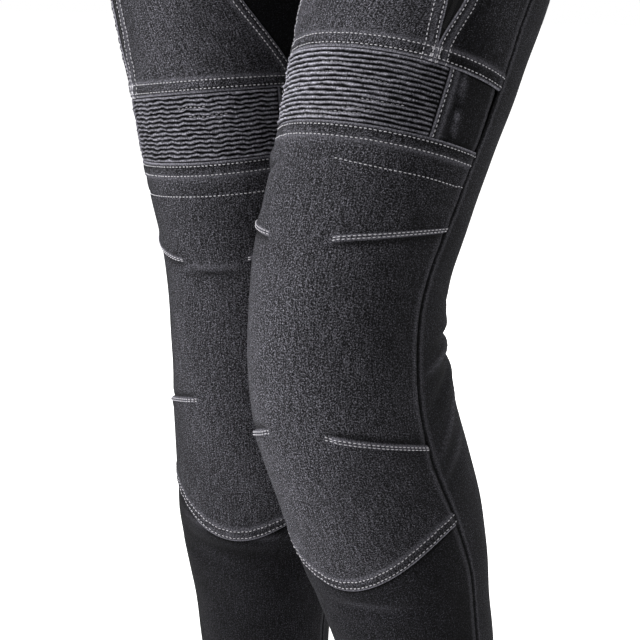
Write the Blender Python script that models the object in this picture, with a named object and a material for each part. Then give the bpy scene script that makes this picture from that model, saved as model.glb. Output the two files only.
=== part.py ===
"""Motorcycle trousers as they are worn: a hollow garment of sewn denim panels with one knee bent forward."""

import math

import bmesh
import bpy
import numpy as np
from mathutils import Matrix, Vector

# Sizes are in metres and angles in degrees. The origin is the middle of the waist, the front
# faces -Y and the wearer's left leg is at +X. "Down" is the distance along the leg from the top
# of the waistband. "Turn" is the angle round a leg: 0 in front, 90 at the outer side, 180 behind
# and 270, or -90, at the inseam.
WALL = 0.0015
SEAM_GAP = 0.0003
TURN_GAP = 0.3
LEG_LENGTH = 1.030
CROTCH = 0.250
HIP_JOINT = 0.190
HIP_SPREAD = 0.094
KNEE = 0.564
KNEE_BEND_REACH = 0.101
PATH_STEP = 0.002

# The legs' pose, in degrees: lean is forward, splay is outward and toe-in is a turn of the whole leg.
LEG_POSES = {
    "left": {"side": 1, "thigh": (23.7, -3.7), "shin": (-12.8, 8.8), "toe_in": 12.4},
    "right": {"side": -1, "thigh": (3.8, -6.3), "shin": (-7.2, 2.0), "toe_in": 4.0},
}

# Columns: down, then the ring's reach outward, inward, forward and backward.
LEG_RINGS = np.array((
    (0.300, 0.094, 0.077, 0.087, 0.097),
    (0.380, 0.083, 0.071, 0.081, 0.086),
    (0.450, 0.074, 0.069, 0.079, 0.074),
    (0.520, 0.065, 0.070, 0.078, 0.067),
    (0.570, 0.065, 0.071, 0.078, 0.067),
    (0.620, 0.067, 0.072, 0.076, 0.071),
    (0.680, 0.069, 0.071, 0.068, 0.075),
    (0.740, 0.069, 0.066, 0.060, 0.071),
    (0.800, 0.061, 0.058, 0.055, 0.062),
    (0.860, 0.055, 0.053, 0.053, 0.055),
    (1.030, 0.050, 0.049, 0.050, 0.052),
))
# Columns: down, half width, and the reach forward and backward.
TRUNK_RINGS = np.array((
    (0.000, 0.150, 0.108, 0.114),
    (0.060, 0.158, 0.113, 0.124),
    (0.120, 0.167, 0.115, 0.134),
    (0.190, 0.176, 0.114, 0.140),
    (0.300, 0.182, 0.110, 0.130),
))
TRUNK_ENDS = 0.110
LEG_BEGINS = 0.300
CROTCH_BACKWARD = -0.002
FRONT_RISE_BENDS = 0.130
BACK_RISE_BENDS = 0.100
CROTCH_ARCH = 0.060
CROTCH_REACH = 85.0

# Seams that run down the leg, as the turn at each distance down.
SIDE_SEAM = np.array((
    (0.000, 90), (0.440, 90), (0.485, 87), (0.530, 82), (0.570, 79), (0.610, 77),
    (0.650, 78), (0.690, 82), (0.740, 86), (0.800, 84), (1.030, 84),
))
THIGH_SEAM = np.array((
    (0.042, 4), (0.120, 3), (0.200, -2), (0.260, -11), (0.290, -19),
    (0.320, -32), (0.346, -46), (0.371, -60), (0.384, -66),
))
ZIP_LINE = np.array((
    (0.042, 54), (0.205, 54), (0.300, 53.2), (0.340, 51.5), (0.371, 49), (0.384, 49),
))
ZIP_TOP = 0.205
ZIP_BOTTOM = 0.371
ZIP_FULL_WIDTH = (0.215, 0.340)
ZIP_HALF_TURN = 3.6
ZIP_TAPE_ENDS = (0.2080, 0.3615)

WAISTBAND_DEPTH = 0.042
THIGH_BAND = 0.384
BAND_DEPTH = 0.011
FOLD_RISE = 0.0008
RIB_TURNS = (-50.0, 58.0)
RIB_COUNT = 15
RIB_BASE = -0.0010
RIB_RISE = 0.0024
RIB_ENDS_FLATTEN = (-0.02, 0.03)
HEM_DEPTH = 0.020

THIGH_STATIONS = (
    0.042, 0.075, 0.105, 0.130, 0.155, 0.180, 0.205, 0.215, 0.225, 0.235, 0.2435, 0.2485, 0.250,
    0.252, 0.258, 0.268, 0.285, 0.300, 0.320, 0.340, 0.355, 0.3725, 0.3735, 0.384,
)
# Rows of the knee patch: where each lies in front, where at its side edges, and how many rows
# follow before the next.
KNEE_KEYS = np.array((
    (0.4345, 0.4285, 1), (0.4435, 0.4375, 1), (0.4450, 0.4390, 1), (0.4590, 0.4545, 3),
    (0.5045, 0.4785, 1), (0.5090, 0.4835, 1), (0.5135, 0.4885, 6),
    (0.6015, 0.6290, 1), (0.6060, 0.6335, 1), (0.6105, 0.6380, 5),
    (0.7175, 0.6865, 1), (0.7190, 0.6880, 1), (0.7280, 0.6970, 0),
))
UPPER_DART = KNEE_KEYS[5, 0]
LOWER_DART = KNEE_KEYS[8, 0]
DART_HALF_WIDTH = 0.0045
DART_RISE = 0.0018
DART_TIP = 22.0
DART_FADE = 9.0
SHIN_KEYS = np.array((
    (0.7280, 0.6970, 1), (0.7400, 0.7120, 2), (0.7700, 0.7500, 2), (0.8200, 0.8150, 2),
    (0.9000, 0.9000, 2), (1.0085, 1.0085, 1), (1.0100, 1.0100, 1), (1.0300, 1.0300, 0),
))
DART_BOW = 1.7
HEM_BOW = (0.630, 0.715)

# Creases of the cloth: middle down and round, half reach round, half width, how far it falls for
# each degree of turn, and how far it stands out or, below zero, sinks in.
CREASES = {
    "left": (
        (0.546, 150, 88, 0.008, -0.00010, -0.0045),
        (0.577, 160, 96, 0.008, 0.00008, -0.0055),
        (0.607, 155, 92, 0.008, 0.00012, -0.0045),
        (0.561, 155, 80, 0.009, 0.0, 0.0030),
        (0.592, 155, 80, 0.009, 0.0001, 0.0030),
        (0.300, 178, 70, 0.014, 0.00015, -0.0040),
        (0.262, -52, 36, 0.009, -0.00085, -0.0035),
        (0.236, -40, 34, 0.008, -0.00070, -0.0030),
        (0.745, 0, 62, 0.008, -0.00008, -0.0020),
        (0.905, 100, 80, 0.014, 0.00018, -0.0025),
        (0.955, 10, 70, 0.013, -0.00016, -0.0025),
    ),
    "right": (
        (0.553, 165, 80, 0.010, 0.00006, -0.0030),
        (0.598, 160, 84, 0.010, -0.00008, -0.0035),
        (0.296, 182, 70, 0.015, -0.00012, -0.0045),
        (0.262, -50, 36, 0.009, -0.00080, -0.0030),
        (0.236, -38, 34, 0.008, -0.00070, -0.0030),
        (0.514, 0, 34, 0.007, 0.0, -0.0030),
        (0.728, 0, 80, 0.010, -0.00006, 0.0030),
        (0.747, 0, 84, 0.009, -0.00006, -0.0035),
        (0.900, 40, 84, 0.014, 0.00014, -0.0025),
        (0.962, 150, 84, 0.013, -0.00014, -0.0025),
    ),
}

WAISTBAND_WALL = 0.0030
WAISTBAND_RISE = 0.0008
WAISTBAND_ENDS = (-8.0, 359.0)
WAISTBAND_TURNS = (-8, -2, 2, 7, 12, *range(24, 342, 13), 348, 359)
LAP_RISE = 0.0033
LAP_SETTLES = (0.8, 9.0)
BUTTON_TURN = -3.6
BUTTON_RADIUS = 0.0085
BUTTON_HEIGHT = 0.0035
BUTTON_RIM = 0.0022
BUTTON_STEP = 0.0008

TAPE_WALL = 0.0009
TAPE_BASE = -0.0007
COIL_RISE = 0.0013
COIL_SHARE = 0.44
COIL_SLOPE = 0.04
SLIDER_DOWN = 0.2235
SLIDER_SIZE = Vector((0.0080, 0.0125, 0.0028))
SLIDER_CLEARANCE = 0.0003
SLIDER_ROUNDING = 0.0008
BRIDGE_SUNK = 0.0010
BRIDGE_CHAMFER = 0.0008
BRIDGE_WIDTH = 0.0020
BRIDGE_LENGTH = 0.0100
BRIDGE_POST = 0.0015
BRIDGE_WINDOW = 0.0025
BRIDGE_BAR = 0.0010
PULL_WIDTH = 0.0062
PULL_LENGTH = 0.0280
PULL_WALL = 0.0012
PULL_CORNER = 0.0006
PULL_EYE = (0.0030, 0.0066)
PULL_EYE_CORNER = 0.0005
PULL_GRIP = (0.0028, 0.0075)
PULL_GRIP_CORNER = 0.0013
PULL_GRIP_FOOT = 0.0028
PULL_TILT = 5.0

FINISHES = {
    "washed denim": ((0.085, 0.086, 0.092), 0.88, 0.0),
    "dark denim": ((0.035, 0.036, 0.040), 0.90, 0.0),
    "ribbed stretch": ((0.060, 0.061, 0.066), 0.85, 0.0),
    "black zip tape": ((0.012, 0.012, 0.013), 0.70, 0.0),
    "dark zip metal": ((0.080, 0.080, 0.085), 0.35, 1.0),
}


def ease(value, start, end):
    """0 before start, 1 after end, and a smooth rise between them."""
    t = np.clip((value - start) / (end - start), 0.0, 1.0)
    return t * t * (3 - 2 * t)


def through(knots, heights, at):
    """A smooth curve through the knots, whose slope at each comes from its neighbours."""
    slopes = np.gradient(heights, knots)
    i = np.clip(np.searchsorted(knots, at) - 1, 0, len(knots) - 2)
    gap = knots[i + 1] - knots[i]
    t = np.clip((at - knots[i]) / gap, 0.0, 1.0)
    start = (1 + 2 * t) * (1 - t) ** 2 * heights[i] + t * (1 - t) ** 2 * gap * slopes[i]
    end = t * t * (3 - 2 * t) * heights[i + 1] + t * t * (t - 1) * gap * slopes[i + 1]
    return start + end


def seam_turn(seam, down):
    return through(seam[:, 0], seam[:, 1], down)


def side_turn(down):
    return seam_turn(SIDE_SEAM, down)


def unit(vectors):
    return vectors / np.linalg.norm(vectors, axis=1)[:, None]


class Leg:
    """The line that a leg follows, with its forward and outward directions at each distance down."""

    def __init__(self, name, side, thigh, shin, toe_in):
        self.name = name
        self.side = side
        self.stations = np.arange(0.0, LEG_LENGTH + 2 * PATH_STEP, PATH_STEP)
        bend = ease(self.stations, KNEE - KNEE_BEND_REACH, KNEE + KNEE_BEND_REACH)
        lean = np.radians(thigh[0] + (shin[0] - thigh[0]) * bend)
        splay = np.radians(thigh[1] + (shin[1] - thigh[1]) * bend)
        along = np.stack(
            [side * np.sin(splay) * np.cos(lean), -np.sin(lean), -np.cos(lean) * np.cos(splay)], axis=1
        )
        travelled = np.cumsum(along, axis=0) * PATH_STEP
        start = travelled[int(round(HIP_JOINT / PATH_STEP))]
        self.centres = travelled - start + (side * HIP_SPREAD, 0.0, -HIP_JOINT)
        toe = math.radians(toe_in)
        ahead = np.array((-side * math.sin(toe), -math.cos(toe), 0.0))
        self.forwards = unit(ahead - (along @ ahead)[:, None] * along)
        self.outwards = side * np.cross(self.forwards, along)

    def at(self, values, down):
        return np.stack([np.interp(down, self.stations, values[:, k]) for k in range(3)], axis=1)


def leg_ring(leg, down, turn):
    """Points on the leg's own rings, which lie square to its line."""
    angle = np.radians(turn)
    outer, inner, front, back = (through(LEG_RINGS[:, 0], reach, down) for reach in LEG_RINGS.T[1:])
    across = np.where(np.sin(angle) > 0, outer, inner) * np.sin(angle)
    ahead = np.where(np.cos(angle) > 0, front, back) * np.cos(angle)
    outward = leg.at(leg.outwards, down) * across[:, None]
    return leg.at(leg.centres, down) + outward + leg.at(leg.forwards, down) * ahead[:, None]


def trunk_ring(leg, down, turn):
    """Points on one half of the level rings round the hips, from centre front to centre back."""
    around = np.radians((turn + 90) / 2)
    half_width, front, back = (through(TRUNK_RINGS[:, 0], reach, down) for reach in TRUNK_RINGS.T[1:])
    depth = np.where(np.cos(around) > 0, front, back)
    return np.stack([leg.side * half_width * np.sin(around), -depth * np.cos(around), -down], axis=1)


def seam_end(turn):
    """The turn of the centre seam, or of the inseam, that is nearer."""
    return np.where(turn < 90, -90.0, 270.0)


def nearness(turn):
    """1 at the centre seam or inseam, falling smoothly to 0 away from it."""
    return 1 - ease(np.abs(turn - seam_end(turn)), 0.0, CROTCH_REACH)


def rise_left(down, turn):
    """The share of the body's depth that the centre seam still stands off from the crotch."""
    bends = np.where(turn < 90, FRONT_RISE_BENDS, BACK_RISE_BENDS)
    t = np.clip((down - bends) / (CROTCH - bends), 0.0, 1.0)
    return np.sqrt(1 - t * t)


def blended_ring(leg, down, turn):
    at_side = ease(down, TRUNK_ENDS, LEG_BEGINS)
    at_seam = 1 - rise_left(down, turn)
    share = (at_side + (at_seam - at_side) * nearness(turn))[:, None]
    return trunk_ring(leg, down, turn) * (1 - share) + leg_ring(leg, down, turn) * share


def rise_line(leg, down, turn):
    """The centre seam down to the crotch, in front or behind, and the inseam below it."""
    inseam = np.full_like(down, -90.0)
    edge = trunk_ring(leg, down, turn)
    back_from_crotch = (edge[:, 1] - CROTCH_BACKWARD) * rise_left(down, turn)
    rise = np.stack([np.zeros_like(down), CROTCH_BACKWARD + back_from_crotch, -down], axis=1)
    crotch = np.array((0.0, CROTCH_BACKWARD, -CROTCH))
    at_crotch = leg_ring(leg, np.full_like(down, CROTCH), inseam)
    q = np.clip((down - CROTCH) / CROTCH_ARCH, 0.0, 1.0)
    pull = (1 - np.sqrt(q * (2 - q)))[:, None]
    below = leg_ring(leg, down, inseam) + (crotch - at_crotch) * pull
    return np.where((down <= CROTCH)[:, None], rise, below)


def body_surface(leg, down, turn):
    """The smooth form that the cloth follows, before its creases."""
    end = seam_end(turn)
    shift = rise_line(leg, down, end) - blended_ring(leg, down, end)
    return blended_ring(leg, down, turn) + shift * nearness(turn)[:, None]


def outward_normal(leg, down, turn):
    step_down, step_turn = 0.001, 0.5
    above_crotch = down < CROTCH
    low = np.where(above_crotch, np.maximum(turn - step_turn, -90), turn - step_turn)
    high = np.where(above_crotch, np.minimum(turn + step_turn, 270), turn + step_turn)
    along = body_surface(leg, down + step_down, turn) - body_surface(leg, down - step_down, turn)
    across = body_surface(leg, down, high) - body_surface(leg, down, low)
    return unit(leg.side * np.cross(along, across))


def crease_height(leg, down, turn):
    height = np.zeros_like(down)
    for middle, around, reach, half_width, fall, rise in CREASES[leg.name]:
        off = np.clip((turn - around) / reach, -1, 1)
        away = (down - middle - fall * (turn - around)) / half_width
        height += rise * np.cos(off * math.pi / 2) ** 2 * np.exp(-(away ** 2))
    return height


def cloth_point(leg, down, turn, lift):
    """A point on the cloth's outer face, or lifted off it, kept to its own side of the centre seams."""
    down = np.asarray(down, float)
    turn = np.asarray(turn, float)
    height = crease_height(leg, down, turn) + lift
    points = body_surface(leg, down, turn) + outward_normal(leg, down, turn) * height[:, None]
    kept = np.maximum(points[:, 0] * leg.side, SEAM_GAP / 2) * leg.side
    points[:, 0] = np.where(down < CROTCH + CROTCH_ARCH / 2, kept, points[:, 0])
    return points


def material(name):
    color, roughness, metallic = FINISHES[name]
    found = bpy.data.materials.get(name) or bpy.data.materials.new(name)
    found.use_nodes = True
    shader = found.node_tree.nodes["Principled BSDF"]
    shader.inputs["Base Color"].default_value = (*color, 1.0)
    shader.inputs["Roughness"].default_value = roughness
    shader.inputs["Metallic"].default_value = metallic
    found.diffuse_color = (*color, 1.0)
    return found


def finished(obj, finish, collection):
    obj.data.materials.append(material(finish))
    for other in obj.users_collection:
        other.objects.unlink(obj)
    collection.objects.link(obj)
    return obj


def flat_pattern(row_count, column_count, inner_step):
    """A closed flat slab of quads. Its face at z 0 becomes the outside, and the one at -1 becomes the
    inside and keeps one row in each inner_step. Its x and y are the column and the row."""
    bm = bmesh.new()
    bmesh.ops.create_grid(bm, x_segments=column_count, y_segments=row_count, size=0.5)
    for vert in bm.verts:
        vert.co.x = round((vert.co.x + 0.5) * column_count)
        vert.co.y = round((vert.co.y + 0.5) * row_count)
    made = bmesh.ops.extrude_face_region(bm, geom=bm.faces[:], use_keep_orig=True)
    for item in made["geom"]:
        if isinstance(item, bmesh.types.BMVert):
            item.co.z = -1.0
    spare = [
        edge for edge in bm.edges
        if all(vert.co.z < -0.5 and 0 < vert.co.y < row_count for vert in edge.verts)
        and edge.verts[0].co.y == edge.verts[1].co.y
        and round(edge.verts[0].co.y) % inner_step
    ]
    bmesh.ops.dissolve_edges(bm, edges=spare, use_verts=True)
    bmesh.ops.recalc_face_normals(bm, faces=bm.faces)
    return bm


def at_ends(index, last):
    """1 at the first row or column, -1 at the last and 0 between them."""
    return (index == 0).astype(float) - (index == last)


def panel(name, rows, columns, place, lift, inside, finish, collection, inner_step=1):
    """One sewn piece. place turns a row and a share of the width into points at a given lift, lift
    is how far its outer face stands off the body, and inside is the plain lift of its inner face."""
    rows = np.asarray(rows, float)
    columns = np.asarray(columns, float)
    bm = flat_pattern(len(rows) - 1, len(columns) - 1, inner_step)
    flat = np.array([vert.co for vert in bm.verts])
    row_index = np.rint(flat[:, 1]).astype(int)
    column_index = np.rint(flat[:, 0]).astype(int)
    row, share = rows[row_index], columns[column_index]
    end_down = at_ends(row_index, len(rows) - 1) * SEAM_GAP / 2
    end_turn = at_ends(column_index, len(columns) - 1) * TURN_GAP / 2
    heights = np.where(flat[:, 2] > -0.5, lift(row, share), inside)
    points = place(row, share, end_down, end_turn, heights)
    for vert, point in zip(bm.verts, points):
        vert.co = point
    mesh = bpy.data.meshes.new(name)
    mirrored = bm.calc_volume(signed=True) < 0
    if mirrored:
        bmesh.ops.reverse_faces(bm, faces=bm.faces)
    bm.to_mesh(mesh)
    bm.free()
    mesh.shade_smooth()
    mesh.set_sharp_from_angle(angle=math.radians(50))
    obj = bpy.data.objects.new(name, mesh)
    return finished(obj, finish, collection)


def between(left, right):
    """A place rule for panels whose rows are level: left and right give their edges' turns."""
    def rule(leg):
        def place(down, share, end_down, end_turn, lift):
            turn = left(down) + (right(down) - left(down)) * share + end_turn
            return cloth_point(leg, down + end_down, turn, lift)
        return place
    return rule


def bowed(keys):
    """A place rule for the knee and shin, whose rows bow between their places in front and at the sides."""
    def rule(leg):
        def place(front, share, end_down, end_turn, lift):
            down, turn = bowed_place(keys, front, share)
            return cloth_point(leg, down + end_down, turn + end_turn, lift)
        return place
    return rule


def bowed_place(keys, front, share):
    edge = np.interp(front, keys[:, 0], keys[:, 1])
    side = side_turn(edge)
    turn = side * (2 * share - 1)
    off = np.abs(turn) / side
    hem_like = ease(front, *HEM_BOW)
    bow = off ** DART_BOW * (1 - hem_like) + ease(off, 0.0, 1.0) * hem_like
    return front + (edge - front) * bow, turn


def knee_top(turn):
    off = np.clip(np.abs(turn) / 90, 0, 1)
    return KNEE_KEYS[0, 0] + (KNEE_KEYS[0, 1] - KNEE_KEYS[0, 0]) * off ** DART_BOW


def above_knee(first_turn, last_turn):
    """A place rule for the pieces between the thigh band and the knee patch, by share of their height."""
    def rule(leg):
        def place(part_way, share, end_down, end_turn, lift):
            turn = first_turn + (last_turn - first_turn) * share
            down = THIGH_BAND + (knee_top(turn) - THIGH_BAND) * part_way
            return cloth_point(leg, down + end_down, turn + end_turn, lift)
        return place
    return rule


def rows_of(keys):
    rows = []
    for (front, _, steps), (following, _, _) in zip(keys, keys[1:]):
        rows += list(np.linspace(front, following, int(steps) + 1)[:-1])
    return np.array(rows + [keys[-1][0]])


def edges_of(keys):
    return np.interp(rows_of(keys), keys[:, 0], keys[:, 1])


def zip_half_turn(down):
    widening = (down - ZIP_TOP) / (ZIP_FULL_WIDTH[0] - ZIP_TOP)
    narrowing = (ZIP_BOTTOM - down) / (ZIP_BOTTOM - ZIP_FULL_WIDTH[1])
    return ZIP_HALF_TURN * np.clip(np.minimum(widening, narrowing), 0.0, 1.0)


def zip_front_edge(down):
    return seam_turn(ZIP_LINE, down) - zip_half_turn(down)


def zip_back_edge(down):
    return seam_turn(ZIP_LINE, down) + zip_half_turn(down)


def thigh_seam_turn(down):
    return seam_turn(THIGH_SEAM, down)


def inseam_front(down):
    return np.full_like(down, -90.0)


def inseam_back(down):
    return 360 - side_turn(down)


def flat_lift(row, share):
    return np.zeros_like(row)


def band_lift(down, share):
    """The folded lower edge of the thigh panels."""
    return np.where(down > THIGH_BAND - BAND_DEPTH, FOLD_RISE, 0.0)


def hem_lift(down, share):
    return np.where(down > LEG_LENGTH - HEM_DEPTH - SEAM_GAP, FOLD_RISE, 0.0)


def rib_lift(part_way, share):
    """Ribs as a zigzag of ridges and stitched grooves, which flatten at the panel's ends."""
    ridge = 0.5 - 0.5 * np.cos(2 * math.pi * RIB_COUNT * part_way)
    return RIB_BASE + RIB_RISE * ridge * ease(np.minimum(share, 1 - share), *RIB_ENDS_FLATTEN)


def knee_lift(front, share):
    """Folded top edge and hem, and the raised darts, which run in from each side seam to their tips."""
    _, turn = bowed_place(KNEE_KEYS, front, share)
    fold = (front < KNEE_KEYS[1, 0] + SEAM_GAP) | (front > KNEE_KEYS[-2, 0] - SEAM_GAP)
    beyond_tip = ease(np.abs(turn), DART_TIP, DART_TIP + DART_FADE)
    darts = sum(np.clip(1 - np.abs(front - dart) / DART_HALF_WIDTH, 0, 1) for dart in (UPPER_DART, LOWER_DART))
    return np.where(fold, FOLD_RISE, 0.0) + DART_RISE * darts * beyond_tip


def leg_panels(leg, collection):
    thigh = np.array(THIGH_STATIONS)
    gusset = np.linspace(0, 1, 4)
    rib_rows = np.linspace(0, 1, 2 * RIB_COUNT + 1)
    knee_rows, shin_rows = rows_of(KNEE_KEYS), rows_of(SHIN_KEYS)
    gusset_edge = THIGH_BAND + (KNEE_KEYS[0, 1] - THIGH_BAND) * gusset
    back_rows = np.concatenate([thigh, gusset_edge[1:-1], edges_of(KNEE_KEYS), edges_of(SHIN_KEYS)[1:]])
    pieces = (
        ("front_panel", thigh, 7, between(inseam_front, thigh_seam_turn), band_lift, "dark denim", 2),
        ("thigh_panel", thigh, 6, between(thigh_seam_turn, zip_front_edge), band_lift, "washed denim", 2),
        ("side_panel", thigh, 3, between(zip_back_edge, side_turn), band_lift, "washed denim", 2),
        ("rib_panel", rib_rows, 16, above_knee(*RIB_TURNS), rib_lift, "ribbed stretch", 10),
        ("outer_gusset", gusset, 3, above_knee(RIB_TURNS[1], 90.0), flat_lift, "dark denim", 1),
        ("inner_gusset", gusset, 4, above_knee(-90.0, RIB_TURNS[0]), flat_lift, "dark denim", 1),
        ("knee_patch", knee_rows, 16, bowed(KNEE_KEYS), knee_lift, "washed denim", 2),
        ("shin_panel", shin_rows, 16, bowed(SHIN_KEYS), hem_lift, "dark denim", 2),
        ("back_panel", back_rows, 11, between(side_turn, inseam_back), hem_lift, "dark denim", 2),
    )
    for name, rows, columns, rule, lift, finish, inner_step in pieces:
        inside = RIB_BASE - WALL if name == "rib_panel" else -WALL
        shares = np.linspace(0, 1, columns + 1)
        panel(f"{leg.name}_{name}", rows, shares, rule(leg), lift, inside, finish, collection, inner_step)


def coil_lift(down, share):
    """The zip's coil, as a raised band along the middle of its tape."""
    return TAPE_BASE + np.where(np.abs(2 * share - 1) < COIL_SHARE, COIL_RISE, 0.0)


def zip_tape(leg, collection):
    stations = [down for down in THIGH_STATIONS if ZIP_TAPE_ENDS[0] < down < ZIP_TAPE_ENDS[1]]
    rows = [ZIP_TAPE_ENDS[0], *stations, ZIP_TAPE_ENDS[1]]
    foot, top = (COIL_SHARE + COIL_SLOPE) / 2, (COIL_SHARE - COIL_SLOPE) / 2
    shares = (0.0, 0.5 - foot, 0.5 - top, 0.5, 0.5 + top, 0.5 + foot, 1.0)
    rule = between(zip_front_edge, zip_back_edge)
    inside = TAPE_BASE - TAPE_WALL
    panel(f"{leg.name}_zip_tape", rows, shares, rule(leg), coil_lift, inside, "black zip tape", collection, 4)


def frame_on_cloth(leg, down, turn, lift):
    """A frame whose X runs across the cloth, Y up along the leg and Z out of it."""
    downs, turns = np.array((down, down - 0.002, down)), np.array((turn, turn, turn + 1.0))
    origin, above, beside = cloth_point(leg, downs, turns, lift)
    normal = Vector(outward_normal(leg, downs, turns)[0])
    up = Vector(above - origin)
    up = (up - normal * up.dot(normal)).normalized()
    across = up.cross(normal)
    frame = Matrix((across, up, normal)).transposed().to_4x4()
    frame.translation = Vector(origin)
    return frame


def block(bm, size, middle):
    made = bmesh.ops.create_cube(bm, size=1.0)
    bmesh.ops.scale(bm, vec=size, verts=made["verts"])
    bmesh.ops.translate(bm, vec=middle, verts=made["verts"])


def hinge_height():
    return SLIDER_SIZE.z + BRIDGE_WINDOW / 2


def zip_slider(leg, frame, collection, helpers):
    """The slider's body with the bridge that its pull hangs on."""
    name = f"{leg.name}_zip_slider"
    bm = bmesh.new()
    block(bm, SLIDER_SIZE, Vector((0, 0, SLIDER_SIZE.z / 2)))
    bmesh.ops.bevel(bm, geom=bm.edges[:], offset=SLIDER_ROUNDING, segments=2, affect="EDGES", profile=0.5)
    mesh = bpy.data.meshes.new(name)
    bm.to_mesh(mesh)
    bm.free()
    obj = bpy.data.objects.new(name, mesh)
    bridge_mesh = bpy.data.meshes.new(f"{name}_bridge")
    bm = bmesh.new()
    half = BRIDGE_LENGTH / 2
    inner = half - BRIDGE_POST
    top = SLIDER_SIZE.z + BRIDGE_WINDOW + BRIDGE_BAR
    window_top = top - BRIDGE_BAR
    low = SLIDER_SIZE.z - BRIDGE_SUNK
    shoulder = top - BRIDGE_CHAMFER
    flat_end = half - BRIDGE_CHAMFER
    outline = (
        (-half, low), (-half, shoulder), (-flat_end, top), (flat_end, top), (half, shoulder), (half, low),
        (inner, low), (inner, window_top), (-inner, window_top), (-inner, low),
    )
    verts = [bm.verts.new((-BRIDGE_WIDTH / 2, y, z)) for y, z in outline]
    side = bm.faces.new(verts)
    swept = bmesh.ops.extrude_face_region(bm, geom=[side], use_keep_orig=True)
    moved = [item for item in swept["geom"] if isinstance(item, bmesh.types.BMVert)]
    bmesh.ops.translate(bm, vec=(BRIDGE_WIDTH, 0, 0), verts=moved)
    bmesh.ops.recalc_face_normals(bm, faces=bm.faces)
    bm.to_mesh(bridge_mesh)
    bm.free()
    bridge = bpy.data.objects.new(f"{name}_bridge", bridge_mesh)
    bridge.hide_render = True
    bridge.display_type = "WIRE"
    helpers.objects.link(bridge)
    bridge.matrix_world = frame
    obj.matrix_world = frame
    join = obj.modifiers.new("bridge", "BOOLEAN")
    join.operation = "UNION"
    join.solver = "EXACT"
    join.object = bridge
    return finished(obj, "dark zip metal", collection)


def rounded_outline(curve, width, top, bottom, radius, corner_steps=3):
    """Adds a closed outline with round corners, between two heights and centred on X."""
    half = width / 2 - radius
    high, low = top - radius, bottom + radius
    corners = ((half, high, 0), (-half, high, 90), (-half, low, 180), (half, low, 270))
    points = []
    for x, y, start in corners:
        for k in range(corner_steps + 1):
            angle = math.radians(start + 90 * k / corner_steps)
            points.append((x + radius * math.cos(angle), y + radius * math.sin(angle)))
    spline = curve.splines.new("POLY")
    spline.points.add(len(points) - 1)
    for point, (x, y) in zip(spline.points, points):
        point.co = (x, y, 0, 1)
    spline.use_cyclic_u = True


def zip_pull(leg, frame, collection):
    """The pull tab. Its origin is on its hinge, the bar at the top of its eye, under the bridge."""
    curve = bpy.data.curves.new(f"{leg.name}_zip_pull", "CURVE")
    curve.dimensions = "2D"
    curve.fill_mode = "BOTH"
    curve.extrude = PULL_WALL / 2
    bar = PULL_WALL / 2
    foot = bar - PULL_LENGTH
    grip_foot = foot + PULL_GRIP_FOOT
    rounded_outline(curve, PULL_WIDTH, bar, foot, PULL_CORNER, 1)
    rounded_outline(curve, PULL_EYE[0], -bar, -bar - PULL_EYE[1], PULL_EYE_CORNER, 1)
    rounded_outline(curve, PULL_GRIP[0], grip_foot + PULL_GRIP[1], grip_foot, PULL_GRIP_CORNER)
    obj = bpy.data.objects.new(f"{leg.name}_zip_pull", curve)
    leaning_in = Matrix.Rotation(math.radians(PULL_TILT), 4, "X")
    obj.matrix_world = frame @ Matrix.Translation((0, 0, hinge_height())) @ leaning_in
    return finished(obj, "dark zip metal", collection)


def zip_parts(leg, collection, helpers):
    zip_tape(leg, collection)
    turn = float(seam_turn(ZIP_LINE, np.array(SLIDER_DOWN)))
    frame = frame_on_cloth(leg, SLIDER_DOWN, turn, TAPE_BASE + COIL_RISE + SLIDER_CLEARANCE)
    zip_slider(leg, frame, collection, helpers)
    zip_pull(leg, frame, collection)


def waist_place(down, around, lift):
    """Points round the waist by the angle from centre front, by the wearer's left side."""
    angle = np.radians(around)
    half_width, front, back = (through(TRUNK_RINGS[:, 0], reach, down) for reach in TRUNK_RINGS.T[1:])
    depth = np.where(np.cos(angle) > 0, front, back)
    normal = unit(np.stack([np.sin(angle) / half_width, -np.cos(angle) / depth, np.zeros_like(down)], axis=1))
    ring = np.stack([half_width * np.sin(angle), -depth * np.cos(angle), -down], axis=1)
    return ring + normal * lift[:, None]


def waistband(collection):
    """A doubled band whose left end laps over its right end at the front."""
    start, end = WAISTBAND_ENDS
    shares = (np.array(WAISTBAND_TURNS) - start) / (end - start)

    def place(down, share, end_down, end_turn, lift):
        around = start + (end - start) * share
        lap = LAP_RISE * (1 - ease(around, *LAP_SETTLES))
        return waist_place(down + end_down, around, lift + lap)

    def lift(down, share):
        return np.full_like(down, WAISTBAND_RISE)

    rows = (0.0, WAISTBAND_DEPTH / 2, WAISTBAND_DEPTH)
    inside = WAISTBAND_RISE - WAISTBAND_WALL
    panel("waistband", rows, shares, place, lift, inside, "washed denim", collection)


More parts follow.
